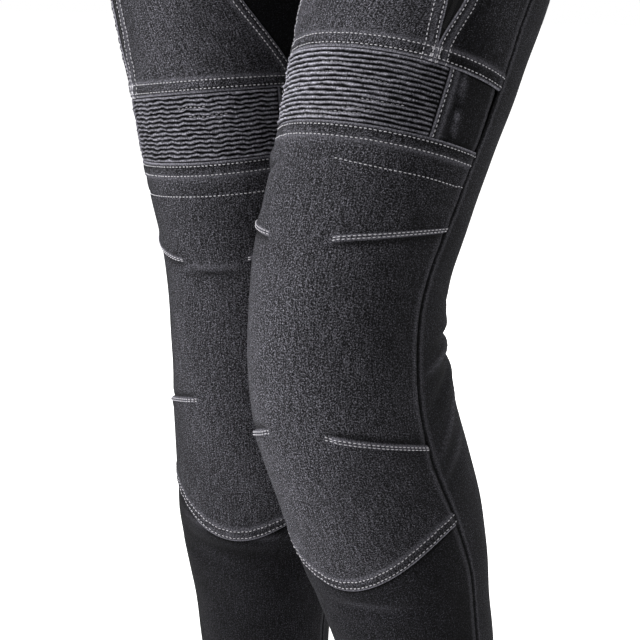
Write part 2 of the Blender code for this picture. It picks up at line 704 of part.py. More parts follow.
def waist_button(collection):
    downs = WAISTBAND_DEPTH / 2 + BUTTON_RADIUS * np.array((-1, 1, 0, 0))
    arounds = BUTTON_TURN + np.array((0, 0, -2, 2))
    base = np.full(4, WAISTBAND_RISE + LAP_RISE + SEAM_GAP)
    above, below, right, left = (Vector(point) for point in waist_place(downs, arounds, base))
    outward = (below - above).cross(left - right).normalized()
    seat = (above + below) / 2 + outward * SEAM_GAP / 2
    bm = bmesh.new()
    bmesh.ops.create_cone(
        bm, cap_ends=True, segments=28, radius1=BUTTON_RADIUS, radius2=BUTTON_RADIUS, depth=BUTTON_HEIGHT
    )
    bmesh.ops.translate(bm, vec=(0, 0, BUTTON_HEIGHT / 2), verts=bm.verts)
    face = max(bm.faces, key=lambda f: f.calc_center_median().z)
    bmesh.ops.inset_region(bm, faces=[face], thickness=BUTTON_RIM, depth=0.0)
    bmesh.ops.inset_region(bm, faces=[face], thickness=BUTTON_STEP, depth=-BUTTON_STEP)
    mesh = bpy.data.meshes.new("waist_button")
    bm.to_mesh(mesh)
    bm.free()
    obj = bpy.data.objects.new("waist_button", mesh)
    obj.location = seat
    obj.rotation_mode = "QUATERNION"
    obj.rotation_quaternion = outward.to_track_quat("Z", "Y")
    return finished(obj, "dark zip metal", collection)


def main():
    for obj in list(bpy.data.objects):
        bpy.data.objects.remove(obj, do_unlink=True)
    trousers = bpy.data.collections.new("Motorcycle trousers")
    helpers = bpy.data.collections.new("Cutters")
    bpy.context.scene.collection.children.link(trousers)
    bpy.context.scene.collection.children.link(helpers)
    for name, pose in LEG_POSES.items():
        leg = Leg(name, **pose)
        leg_panels(leg, trousers)
        zip_parts(leg, trousers, helpers)
    waistband(trousers)
    waist_button(trousers)


main()
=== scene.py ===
"""Looks for the motorcycle trousers: cloth panels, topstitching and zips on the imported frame."""

import math
from functools import partial

import bmesh
import bpy
import numpy as np
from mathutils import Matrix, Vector
from mathutils.bvhtree import BVHTree


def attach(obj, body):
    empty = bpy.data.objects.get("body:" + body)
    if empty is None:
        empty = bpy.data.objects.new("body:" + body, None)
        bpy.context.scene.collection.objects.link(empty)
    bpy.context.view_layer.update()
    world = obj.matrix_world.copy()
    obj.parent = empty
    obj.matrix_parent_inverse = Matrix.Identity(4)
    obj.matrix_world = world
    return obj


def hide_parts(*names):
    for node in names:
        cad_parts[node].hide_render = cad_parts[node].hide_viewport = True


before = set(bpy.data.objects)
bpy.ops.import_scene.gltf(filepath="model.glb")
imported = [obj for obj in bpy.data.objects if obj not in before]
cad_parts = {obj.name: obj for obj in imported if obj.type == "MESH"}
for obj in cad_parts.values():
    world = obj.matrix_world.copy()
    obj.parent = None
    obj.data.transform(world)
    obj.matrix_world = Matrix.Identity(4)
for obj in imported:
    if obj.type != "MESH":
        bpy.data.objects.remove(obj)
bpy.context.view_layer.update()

# Sizes are in metres and angles in degrees. "Down" is the distance along a leg from the top of the
# waistband. "Turn" is the angle round a leg: 0 in front, 90 at the outer side, 180 behind and 270,
# or -90, at the inseam. Down to HEM_BOW, these sizes and tables are the CAD part's own.
WALL = 0.0015
SEAM_GAP = 0.0003
TURN_GAP = 0.12
LEG_LENGTH = 1.030
CROTCH = 0.250
HIP_JOINT = 0.190
HIP_SPREAD = 0.094
KNEE = 0.564
KNEE_BEND_REACH = 0.101
PATH_STEP = 0.002
LEG_POSES = {
    "left": {"side": 1, "thigh": (23.7, -3.7), "shin": (-12.8, 8.8), "toe_in": 12.4},
    "right": {"side": -1, "thigh": (3.8, -6.3), "shin": (-7.2, 2.0), "toe_in": 4.0},
}

# Columns: down, then the ring's reach outward, inward, forward and backward.
LEG_RINGS = np.array((
    (0.300, 0.094, 0.077, 0.087, 0.097),
    (0.380, 0.083, 0.071, 0.081, 0.086),
    (0.450, 0.074, 0.069, 0.079, 0.074),
    (0.520, 0.065, 0.070, 0.078, 0.067),
    (0.570, 0.065, 0.071, 0.078, 0.067),
    (0.620, 0.067, 0.072, 0.076, 0.071),
    (0.680, 0.069, 0.071, 0.068, 0.075),
    (0.740, 0.069, 0.066, 0.060, 0.071),
    (0.800, 0.061, 0.058, 0.055, 0.062),
    (0.860, 0.055, 0.053, 0.053, 0.055),
    (1.030, 0.050, 0.049, 0.050, 0.052),
))
# Columns: down, half width, and the reach forward and backward.
TRUNK_RINGS = np.array((
    (0.000, 0.150, 0.108, 0.114),
    (0.060, 0.158, 0.113, 0.124),
    (0.120, 0.167, 0.115, 0.134),
    (0.190, 0.176, 0.114, 0.140),
    (0.300, 0.182, 0.110, 0.130),
))
TRUNK_ENDS = 0.110
LEG_BEGINS = 0.300
CROTCH_BACKWARD = -0.002
FRONT_RISE_BENDS = 0.130
BACK_RISE_BENDS = 0.100
CROTCH_ARCH = 0.060
CROTCH_REACH = 85.0

# Seams that run down the leg, as the turn at each distance down.
SIDE_SEAM = np.array((
    (0.000, 90), (0.440, 90), (0.485, 87), (0.530, 82), (0.570, 79), (0.610, 77),
    (0.650, 78), (0.690, 82), (0.740, 86), (0.800, 84), (1.030, 84),
))
THIGH_SEAM = np.array((
    (0.042, 4), (0.120, 3), (0.200, -2), (0.260, -11), (0.290, -19),
    (0.320, -32), (0.346, -46), (0.371, -60), (0.384, -66),
))
ZIP_LINE = np.array((
    (0.042, 54), (0.205, 54), (0.300, 53.2), (0.340, 51.5), (0.371, 49), (0.384, 49),
))
ZIP_TOP = 0.205
ZIP_BOTTOM = 0.371
ZIP_FULL_WIDTH = (0.215, 0.340)
ZIP_HALF_TURN = 3.6
WAISTBAND_DEPTH = 0.042
THIGH_BAND = 0.384
RIB_TURNS = (-50.0, 58.0)
RIB_COUNT = 15
RIB_BASE = -0.0010
RIB_RISE = 0.0026

# Rows of the knee patch and shin: where each lies in front and where at its side edges.
KNEE_KEYS = np.array((
    (0.4345, 0.4285), (0.4450, 0.4390), (0.4590, 0.4545), (0.5090, 0.4835), (0.6060, 0.6335),
    (0.7190, 0.6880), (0.7280, 0.6970),
))
SHIN_KEYS = np.array((
    (0.7280, 0.6970), (0.7400, 0.7120), (0.7700, 0.7500),
    (0.8200, 0.8150), (0.9000, 0.9000), (1.0300, 1.0300),
))
UPPER_DART = KNEE_KEYS[3, 0]
LOWER_DART = KNEE_KEYS[4, 0]
DART_TIP = 22.0
DART_BOW = 1.7
HEM_BOW = (0.630, 0.715)
# The patch's top fold ends here in front, and the stitched channel below it runs from these turns on.
TOP_FOLD_ENDS = 0.4445
CHANNEL = KNEE_KEYS[2, 0]
CHANNEL_BEGINS = {"left": 14, "right": -200}
CHANNEL_FADE = 12
BAND_FOLD = 0.011
HEM_FOLD = 0.020

# The welt of a dart, and the dimple at its tip: its depth and its reach down and round.
WELT_RISE = 0.0012
WELT_EDGES = (0.0009, 0.0021)
TIP_DIMPLE = (0.0008, 0.006, 5)
# Soft stripes along seams, folds and darts: their strength, where their middle lies, and their width.
TUCK = (0.0016, 0.0026, 0.0010)
DART_SWELL = (0.0008, -0.0040, 0.0050)
# Painted shade in the tuck beside each dart, and weaker on the welt's other side.
TUCK_PAINTED_SHADE = ((1.0, 0.0027, 0.0012), (0.5, -0.0025, 0.0008))
WELT_WORN = (0.55, 0.0011, 0.0007)
CHANNEL_DIP = (0.0007, CHANNEL, 0.0014)
CHANNEL_PUFF = (0.0005, 0.4515, 0.0040)
UNDER_FOLD_WORN = (0.26, 0.4482, 0.0026)
FOLD_EDGE_WORN = (1.0, 0.0003, 0.0009)
FOLD_LINE_WORN = (0.30, 0.0, 0.0020)
SEAM_WORN = (0.16, 0.0030, 0.0012)
# Painted shade past the end of a fold, in seams, beside edges that lie under other panels and along the
# threads; seams also keep some darker dye.
FOLD_LINE_PAINTED_SHADE = (0.45, 0.0016, 0.0014)
EDGE_PAINTED_SHADE = {"seam": (0.95, 0.0, 0.0012), "under": (0.95, 0.0, 0.0022)}
THREAD_PAINTED_SHADE = (0.80, 0.0, 0.0011)
THREAD_DIP = (0.00035, 0.0, 0.0008)
WAIST_THREAD_DIP = (0.0005, 0.0035, 0.0012)

# How the ribs wander on each leg: waves of a height, a pace along the rib and a shift from rib to rib.
RIB_WAVES = {
    "left": ((0.0045, 3.1, 1), (0.0028, 9.7, 2)),
    "right": ((0.008, 5.3, 0.4), (0.007, 12.6, 1), (0.0035, 21.7, -1)),
}
RIB_UNEVEN = {"left": 0.20, "right": 0.26}
# The ribs' painted highlight on each leg, dimmer on the right leg as painted shade, and how far it fades
# towards the outer side as painted shade.
RIB_PAINTED_LIGHT = {"left": 1.0, "right": 0.72}
RIB_PAINTED_SHADE_FADE = {"left": 0.50, "right": 0.25}

# Creases of the cloth: middle down and round, half reach round, half width, how far it falls for
# each degree of turn, and how far it stands out or, below zero, sinks in. They are the CAD part's,
# but for those behind the left knee, which lie closer and deeper.
CREASES = {
    "left": (
        (0.556, 138, 58, 0.0042, -0.00025, -0.0048),
        (0.5735, 140, 58, 0.0044, -0.00030, -0.0054),
        (0.548, 140, 60, 0.0070, -0.00020, 0.0014),
        (0.566, 140, 60, 0.0060, -0.00028, 0.0012),
        (0.588, 140, 58, 0.0070, -0.00036, 0.0016),
        (0.560, 210, 44, 0.0070, 0.00020, -0.0040),
        (0.582, 214, 44, 0.0070, 0.00010, -0.0040),
        (0.300, 178, 70, 0.014, 0.00015, -0.0040),
        (0.262, -52, 36, 0.009, -0.00085, -0.0035),
        (0.236, -40, 34, 0.008, -0.00070, -0.0030),
        (0.745, 0, 62, 0.008, -0.00008, -0.0020),
        (0.905, 100, 80, 0.014, 0.00018, -0.0025),
        (0.955, 10, 70, 0.013, -0.00016, -0.0025),
    ),
    "right": (
        (0.553, 165, 80, 0.010, 0.00006, -0.0030),
        (0.598, 160, 84, 0.010, -0.00008, -0.0035),
        (0.296, 182, 70, 0.015, -0.00012, -0.0045),
        (0.262, -50, 36, 0.009, -0.00080, -0.0030),
        (0.236, -38, 34, 0.008, -0.00070, -0.0030),
        (0.514, 0, 34, 0.007, 0.0, -0.0030),
        (0.728, 0, 80, 0.010, -0.00006, 0.0030),
        (0.747, 0, 84, 0.009, -0.00006, -0.0035),
        (0.900, 40, 84, 0.014, 0.00014, -0.0025),
        (0.962, 150, 84, 0.013, -0.00014, -0.0025),
    ),
}
# Sharper wrinkles that only the dressed cloth has, in the same columns.
FINE_CREASES = {
    "left": (
        (0.5965, 106, 34, 0.0070, -0.00060, -0.0030),
        (0.6260, 104, 30, 0.0034, -0.00100, 0.0020),
        (0.6500, 104, 28, 0.0036, -0.00060, 0.0014),
        (0.5270, 108, 26, 0.0034, 0.00030, -0.0014),
        (0.4530, -56, 30, 0.0080, 0.0, 0.0026),
        (0.556, 210, 40, 0.0035, 0.00010, -0.0016),
        (0.589, 214, 42, 0.0035, -0.00014, -0.0018),
        (0.612, 200, 40, 0.0040, -0.00020, -0.0014),
        (0.660, 100, 30, 0.0060, -0.00035, -0.0012),
        (0.300, 150, 40, 0.0070, 0.00030, -0.0016),
        (0.315, 205, 40, 0.0060, -0.00025, -0.0014),
        (0.282, -62, 28, 0.0050, -0.00090, -0.0014),
        (0.4630, -44, 21, 0.0022, -0.00022, -0.0034),
        (0.498, -28, 26, 0.0040, 0.00030, -0.0012),
        (0.500, 60, 26, 0.0045, -0.00040, -0.0010),
        (0.622, 52, 26, 0.0045, 0.00035, -0.0010),
        (0.744, 20, 40, 0.0045, 0.00020, -0.0014),
        (0.757, -20, 44, 0.0050, 0.00018, -0.0014),
        (0.985, 120, 70, 0.0080, -0.00020, -0.0016),
        (0.998, -10, 60, 0.0080, 0.00022, -0.0016),
    ),
    "right": (
        (0.545, 115, 36, 0.0045, 0.00016, -0.0014),
        (0.575, 118, 40, 0.0045, -0.00005, -0.0018),
        (0.608, 112, 36, 0.0045, -0.00020, -0.0016),
        (0.563, 215, 40, 0.0045, 0.00012, -0.0014),
        (0.590, 210, 40, 0.0045, -0.00012, -0.0016),
        (0.300, 150, 40, 0.0070, 0.00030, -0.0016),
        (0.318, 205, 40, 0.0060, -0.00025, -0.0014),
        (0.282, -62, 28, 0.0050, -0.00090, -0.0014),
        (0.506, 10, 30, 0.0035, 0.00020, -0.0014),
        (0.520, -8, 30, 0.0040, -0.00015, -0.0014),
        (0.738, -20, 60, 0.0050, 0.00012, -0.0018),
        (0.756, 22, 60, 0.0050, -0.00012, -0.0018),
        (0.985, 60, 70, 0.0080, 0.00020, -0.0016),
        (1.000, -40, 60, 0.0080, -0.00022, -0.0016),
    ),
}

# Fine lines along the creases, in the same columns, the last being their strength: painted highlights on the
# ridges, and painted shade in the hollows beside them.
CREASE_PAINTED_HIGHLIGHTS = {
    "left": (
        (0.5760, 104, 30, 0.0024, -0.00040, 0.22),
        (0.6240, 104, 30, 0.0026, -0.00100, 0.26),
        (0.6485, 104, 28, 0.0026, -0.00060, 0.16),
        (0.4668, -42, 20, 0.0022, -0.00022, 0.20),
        (0.7430, 10, 40, 0.0024, 0.00012, 0.12),
    ),
    "right": (
        (0.5110, 0, 34, 0.0022, 0.0, 0.20),
        (0.7235, 0, 70, 0.0022, -0.00006, 0.20),
        (0.5600, 112, 30, 0.0024, 0.00010, 0.18),
        (0.5900, 112, 30, 0.0024, -0.00015, 0.18),
    ),
}
CREASE_PAINTED_SHADE = {
    "left": (
        (0.5630, 106, 34, 0.0026, -0.00025, 0.70),
        (0.5850, 106, 34, 0.0050, -0.00040, 0.60),
        (0.6030, 98, 22, 0.0100, -0.00060, 0.45),
        (0.4630, -42, 20, 0.0022, -0.00022, 0.95),
    ),
    "right": (
        (0.5155, 0, 34, 0.0024, 0.0, 0.90),
        (0.7440, 0, 80, 0.0050, -0.00006, 0.60),
        (0.5530, 116, 34, 0.0026, 0.00010, 0.60),
        (0.5800, 116, 34, 0.0026, -0.00010, 0.60),
    ),
}

# How light the wash leaves each panel; the low wash of the front, side and back panels is partly painted
# shade. Each faded patch adds its strength, with its middle down and round and its reach. Towards a side the
# colour falls, partly the wash and partly painted shade, or, below zero, rises as a painted highlight,
# between two turns.
PANEL_WASH = {
    "thigh_panel": 0.68, "side_panel": 0.10, "front_panel": 0.06,
    "knee_patch": 0.66, "shin_panel": 0.42, "back_panel": 0.24,
}
FADED = {
    "knee_patch": ((0.22, 0.600, -14, 0.085, 40), (0.10, 0.690, -20, 0.05, 40)),
    "thigh_panel": ((0.25, 0.310, 8, 0.12, 26), (0.60, 0.379, 4, 0.0050, 12)),
    "back_panel": ((0.14, 0.17, 175, 0.08, 50),),
}
WASH_AND_SHADE_FALLS = {
    "knee_patch": (0.50, 24, 78), "thigh_panel": (0.22, 26, 52),
    "shin_panel": (0.36, 26, 74), "back_panel": (-0.16, 96, 118),
}
CLOUDING = 0.05
# Painted shade over the whole right leg, which gets less light.
RIGHT_LEG_PAINTED_SHADE = 0.15

WAISTBAND_WALL = 0.0030
UNDER_BAND = 0.005
WAISTBAND_RISE = 0.0008
WAISTBAND_ENDS = (-8.0, 359.0)
LAP_RISE = 0.0033
LAP_SETTLES = (0.8, 9.0)
TAPE_WALL = 0.0009
TAPE_BASE = -0.0009
TAPE_UNDER_ENDS = 0.004
TAPE_UNDER_SIDES = 1.0
COIL_ENDS = (0.2130, 0.3600)
COIL_PITCH = 0.00125
COIL_TURN = (0.0031, 0.0009, 0.0009)
COIL_BEVEL = 0.00025
COIL_LIFT = 0.00045

# The grid of each dressed panel, and the closer stations on both sides of an edge or a fold.
GRID = 0.0030
RIB_GRID = 0.0017
ROWS_TO_A_RIB = 8
CLOSE = (-0.0034, -0.0022, -0.0013, -0.0006, 0.0, 0.0006, 0.0013, 0.0022, 0.0034)
# Edges this near the centre seam meet there, all but this gap.
RISE_REACH = 0.006
RISE_GAP = 0.0001
# How each kind of edge rolls over: its depth and its width.
EDGE_ROLLS = {"fold": (0.0006, 0.0011), "seam": (0.0010, 0.0016), "under": (0.0009, 0.0017)}
PLAIN = ("under", 0.0)
SEAM = ("seam", 0.0)
FOLD_RISE = 0.0008
FOLD_ENDS = 0.0016
PUCKER_PITCH = 0.0085
PUCKER_RISE = 0.00045
PUCKER_REACH = 0.0060
PUCKER_STARTS = 0.003
PUCKER_DRIFT = 1.7
PUCKER_PACE = 260
SHARP_ANGLE = 55
# The inner face has its own place on the cloth map, this far to the side.
INNER_UV_SHIFT = 0.5

STITCH_LENGTH = 0.0021
STITCH_PITCH = 0.0033
STITCH_RADIUS = 0.00037
STITCH_LIFT = 0.00015
STITCH_SIDES = 6
# How far above the cloth a row of stitches starts before it is pressed on.
THREAD_START = 0.001


def ease(value, start, end):
    """0 before start, 1 after end, and a smooth rise between them."""
    t = np.clip((value - start) / (end - start), 0.0, 1.0)
    return t * t * (3 - 2 * t)


def bell(value, width):
    """1 at zero, falling smoothly away on both sides."""
    return np.exp(-((value / width) ** 2))


def stripe(away, strength, middle, width):
    """A soft line of this strength at one distance."""
    return strength * bell(away - middle, width)


def through(knots, heights, at):
    """A smooth curve through the knots, whose slope at each comes from its neighbours."""
    slopes = np.gradient(heights, knots)
    i = np.clip(np.searchsorted(knots, at) - 1, 0, len(knots) - 2)
    gap = knots[i + 1] - knots[i]
    t = np.clip((at - knots[i]) / gap, 0.0, 1.0)
    start = (1 + 2 * t) * (1 - t) ** 2 * heights[i] + t * (1 - t) ** 2 * gap * slopes[i]
    end = t * t * (3 - 2 * t) * heights[i + 1] + t * t * (t - 1) * gap * slopes[i + 1]
    return start + end


def seam_turn(seam, down):
    return through(seam[:, 0], seam[:, 1], down)


def side_turn(down):
    return seam_turn(SIDE_SEAM, down)


def unit(vectors):
    return vectors / np.linalg.norm(vectors, axis=-1, keepdims=True)


class Leg:
    """The line that a leg follows, with its forward and outward directions at each distance down."""

    def __init__(self, name, side, thigh, shin, toe_in):
        self.name = name
        self.side = side
        self.stations = np.arange(0.0, LEG_LENGTH + 2 * PATH_STEP, PATH_STEP)
        bend = ease(self.stations, KNEE - KNEE_BEND_REACH, KNEE + KNEE_BEND_REACH)
        lean = np.radians(thigh[0] + (shin[0] - thigh[0]) * bend)
        splay = np.radians(thigh[1] + (shin[1] - thigh[1]) * bend)
        along = np.stack(
            [side * np.sin(splay) * np.cos(lean), -np.sin(lean), -np.cos(lean) * np.cos(splay)], axis=1
        )
        travelled = np.cumsum(along, axis=0) * PATH_STEP
        start = travelled[int(round(HIP_JOINT / PATH_STEP))]
        self.centres = travelled - start + (side * HIP_SPREAD, 0.0, -HIP_JOINT)
        toe = math.radians(toe_in)
        ahead = np.array((-side * math.sin(toe), -math.cos(toe), 0.0))
        self.forwards = unit(ahead - (along @ ahead)[:, None] * along)
        self.outwards = side * np.cross(self.forwards, along)

    def at(self, values, down):
        return np.stack([np.interp(down, self.stations, values[:, k]) for k in range(3)], axis=1)


LEGS = {name: Leg(name, **pose) for name, pose in LEG_POSES.items()}


def leg_ring(leg, down, turn):
    """Points on the leg's own rings, which lie square to its line."""
    angle = np.radians(turn)
    outer, inner, front, back = (through(LEG_RINGS[:, 0], reach, down) for reach in LEG_RINGS.T[1:])
    across = np.where(np.sin(angle) > 0, outer, inner) * np.sin(angle)
    ahead = np.where(np.cos(angle) > 0, front, back) * np.cos(angle)
    outward = leg.at(leg.outwards, down) * across[:, None]
    return leg.at(leg.centres, down) + outward + leg.at(leg.forwards, down) * ahead[:, None]


def trunk_ring(leg, down, turn):
    """Points on one half of the level rings round the hips, from centre front to centre back."""
    around = np.radians((turn + 90) / 2)
    half_width, front, back = (through(TRUNK_RINGS[:, 0], reach, down) for reach in TRUNK_RINGS.T[1:])
    depth = np.where(np.cos(around) > 0, front, back)
    return np.stack([leg.side * half_width * np.sin(around), -depth * np.cos(around), -down], axis=1)


def seam_end(turn):
    """The turn of the centre seam, or of the inseam, that is nearer."""
    return np.where(turn < 90, -90.0, 270.0)


def nearness(turn):
    """1 at the centre seam or inseam, falling smoothly to 0 away from it."""
    return 1 - ease(np.abs(turn - seam_end(turn)), 0.0, CROTCH_REACH)


def rise_left(down, turn):
    """The share of the body's depth that the centre seam still stands off from the crotch."""
    bends = np.where(turn < 90, FRONT_RISE_BENDS, BACK_RISE_BENDS)
    t = np.clip((down - bends) / (CROTCH - bends), 0.0, 1.0)
    return np.sqrt(1 - t * t)


def blended_ring(leg, down, turn):
    at_side = ease(down, TRUNK_ENDS, LEG_BEGINS)
    at_seam = 1 - rise_left(down, turn)
    share = (at_side + (at_seam - at_side) * nearness(turn))[:, None]
    return trunk_ring(leg, down, turn) * (1 - share) + leg_ring(leg, down, turn) * share


def rise_line(leg, down, turn):
    """The centre seam down to the crotch, in front or behind, and the inseam below it."""
    inseam = np.full_like(down, -90.0)
    edge = trunk_ring(leg, down, turn)
    back_from_crotch = (edge[:, 1] - CROTCH_BACKWARD) * rise_left(down, turn)
    rise = np.stack([np.zeros_like(down), CROTCH_BACKWARD + back_from_crotch, -down], axis=1)
    crotch = np.array((0.0, CROTCH_BACKWARD, -CROTCH))
    at_crotch = leg_ring(leg, np.full_like(down, CROTCH), inseam)
    q = np.clip((down - CROTCH) / CROTCH_ARCH, 0.0, 1.0)
    pull = (1 - np.sqrt(q * (2 - q)))[:, None]
    below = leg_ring(leg, down, inseam) + (crotch - at_crotch) * pull
    return np.where((down <= CROTCH)[:, None], rise, below)


def body_surface(leg, down, turn):
    """The smooth form that the cloth follows, before its creases."""
    end = seam_end(turn)
    shift = rise_line(leg, down, end) - blended_ring(leg, down, end)
    return blended_ring(leg, down, turn) + shift * nearness(turn)[:, None]


def outward_normal(leg, down, turn):
    step_down, step_turn = 0.001, 0.5
    above_crotch = down < CROTCH
    low = np.where(above_crotch, np.maximum(turn - step_turn, -90), turn - step_turn)
    high = np.where(above_crotch, np.minimum(turn + step_turn, 270), turn + step_turn)
    along = body_surface(leg, down + step_down, turn) - body_surface(leg, down - step_down, turn)
    across = body_surface(leg, down, high) - body_surface(leg, down, low)
    return unit(leg.side * np.cross(along, across))


def crease_height(creases, down, turn):
    """How far creases lift the cloth, or how strong fine lines are, at these places."""
    height = np.zeros_like(down)
    for middle, around, reach, half_width, fall, rise in creases:
        off = np.clip((turn - around) / reach, -1, 1)
        away = down - middle - fall * (turn - around)
        height += rise * np.cos(off * math.pi / 2) ** 2 * bell(away, half_width)
    return height


def slack(leg, down, turn):
    """Soft unevenness of cloth that hangs a little loose, which fades where it is sewn to the waist."""
    phase = 0.7 * leg.side
    angle = np.radians(turn)
    broad = np.sin(38 * down + 2.3 * np.sin(angle + phase)) * np.sin(2 * angle + 21 * down + phase)
    narrow = np.sin(83 * down - 1.9 * np.cos(angle - phase)) * np.sin(5 * angle - 33 * down + 2 * phase)
    return (0.0007 * broad + 0.0003 * narrow) * ease(down, 0.05, 0.15)


def cloth_point(leg, down, turn, lift):
    """A point on the cloth's outer face, or lifted off it, kept to its own side of the centre seams."""
    down = np.asarray(down, float)
    turn = np.asarray(turn, float)
    creases = CREASES[leg.name] + FINE_CREASES[leg.name]
    height = crease_height(creases, down, turn) + slack(leg, down, turn) + lift
    points = body_surface(leg, down, turn) + outward_normal(leg, down, turn) * height[:, None]
    kept = np.maximum(points[:, 0] * leg.side, SEAM_GAP / 2) * leg.side
    points[:, 0] = np.where(down < CROTCH + CROTCH_ARCH / 2, kept, points[:, 0])
    return points


# Rows of topstitching that follow an edge: the panel, its edge, how far in, and the share of its run.
EDGE_THREADS = (
    ("front_panel", "bottom", 0.0030, 0.0, 1.0), ("front_panel", "bottom", 0.0095, 0.0, 1.0),
    ("thigh_panel", "bottom", 0.0030, 0.0, 1.0), ("thigh_panel", "bottom", 0.0095, 0.0, 1.0),
    ("side_panel", "bottom", 0.0030, 0.0, 1.0), ("side_panel", "bottom", 0.0095, 0.0, 1.0),
    ("thigh_panel", "start", 0.0022, 0.0, 1.0), ("thigh_panel", "start", 0.0075, 0.0, 1.0),
    ("thigh_panel", "end", 0.0022, 0.40, 0.985), ("side_panel", "start", 0.0022, 0.40, 0.985),
    ("thigh_panel", "end", 0.0085, 0.40, 0.985), ("side_panel", "start", 0.0085, 0.40, 0.985),
    ("knee_patch", "top", 0.0028, 0.0, 1.0), ("knee_patch", "top", 0.0098, 0.0, 1.0),
    ("knee_patch", "bottom", 0.0025, 0.0, 1.0), ("knee_patch", "bottom", 0.0080, 0.0, 1.0),
    ("shin_panel", "bottom", 0.0185, 0.0, 1.0), ("back_panel", "bottom", 0.0185, 0.0, 1.0),
    ("inner_gusset", "end", 0.0030, 0.02, 0.98),
)


def stations(start, end, step, marks):
    """Even stations from start to end, with closer ones beside each mark."""
    even = np.linspace(start, end, max(2, int(round((end - start) / step))) + 1)
    marks = np.asarray(marks, float)
    clear = (np.abs(even[:, None] - marks[None]) > CLOSE[-1] * 1.15).all(axis=1)
    close = (marks[:, None] + np.array(CLOSE)[None]).ravel()
    found = np.unique(np.round(np.concatenate([even[clear], close, [start, end]]), 6))
    found = found[(found >= start) & (found <= end)]
    return found[np.concatenate([[True], np.diff(found) > 0.0002])]


def across_stations(width, step=GRID):
    return stations(0.0, width, step, (0.0, width)) / width


def lengths_along(points, axis):
    """How far each point of a grid is from the grid's start, measured along the cloth."""
    steps = np.linalg.norm(np.diff(points, axis=axis), axis=2)
    first = np.zeros_like(steps.take([0], axis=axis))
    return np.concatenate([first, np.cumsum(steps, axis=axis)], axis=axis)


def grid_faces(shape):
    """The numbers of a grid's points, and its four-cornered faces."""
    index = np.arange(shape[0] * shape[1]).reshape(shape)
    corners = (index[:-1, :-1], index[:-1, 1:], index[1:, 1:], index[1:, :-1])
    return index, np.stack(corners, axis=-1).reshape(-1, 4)


def shown(name, data):
    """A new object in the scene."""
    obj = bpy.data.objects.new(name, data)
    bpy.context.scene.collection.objects.link(obj)
    return obj


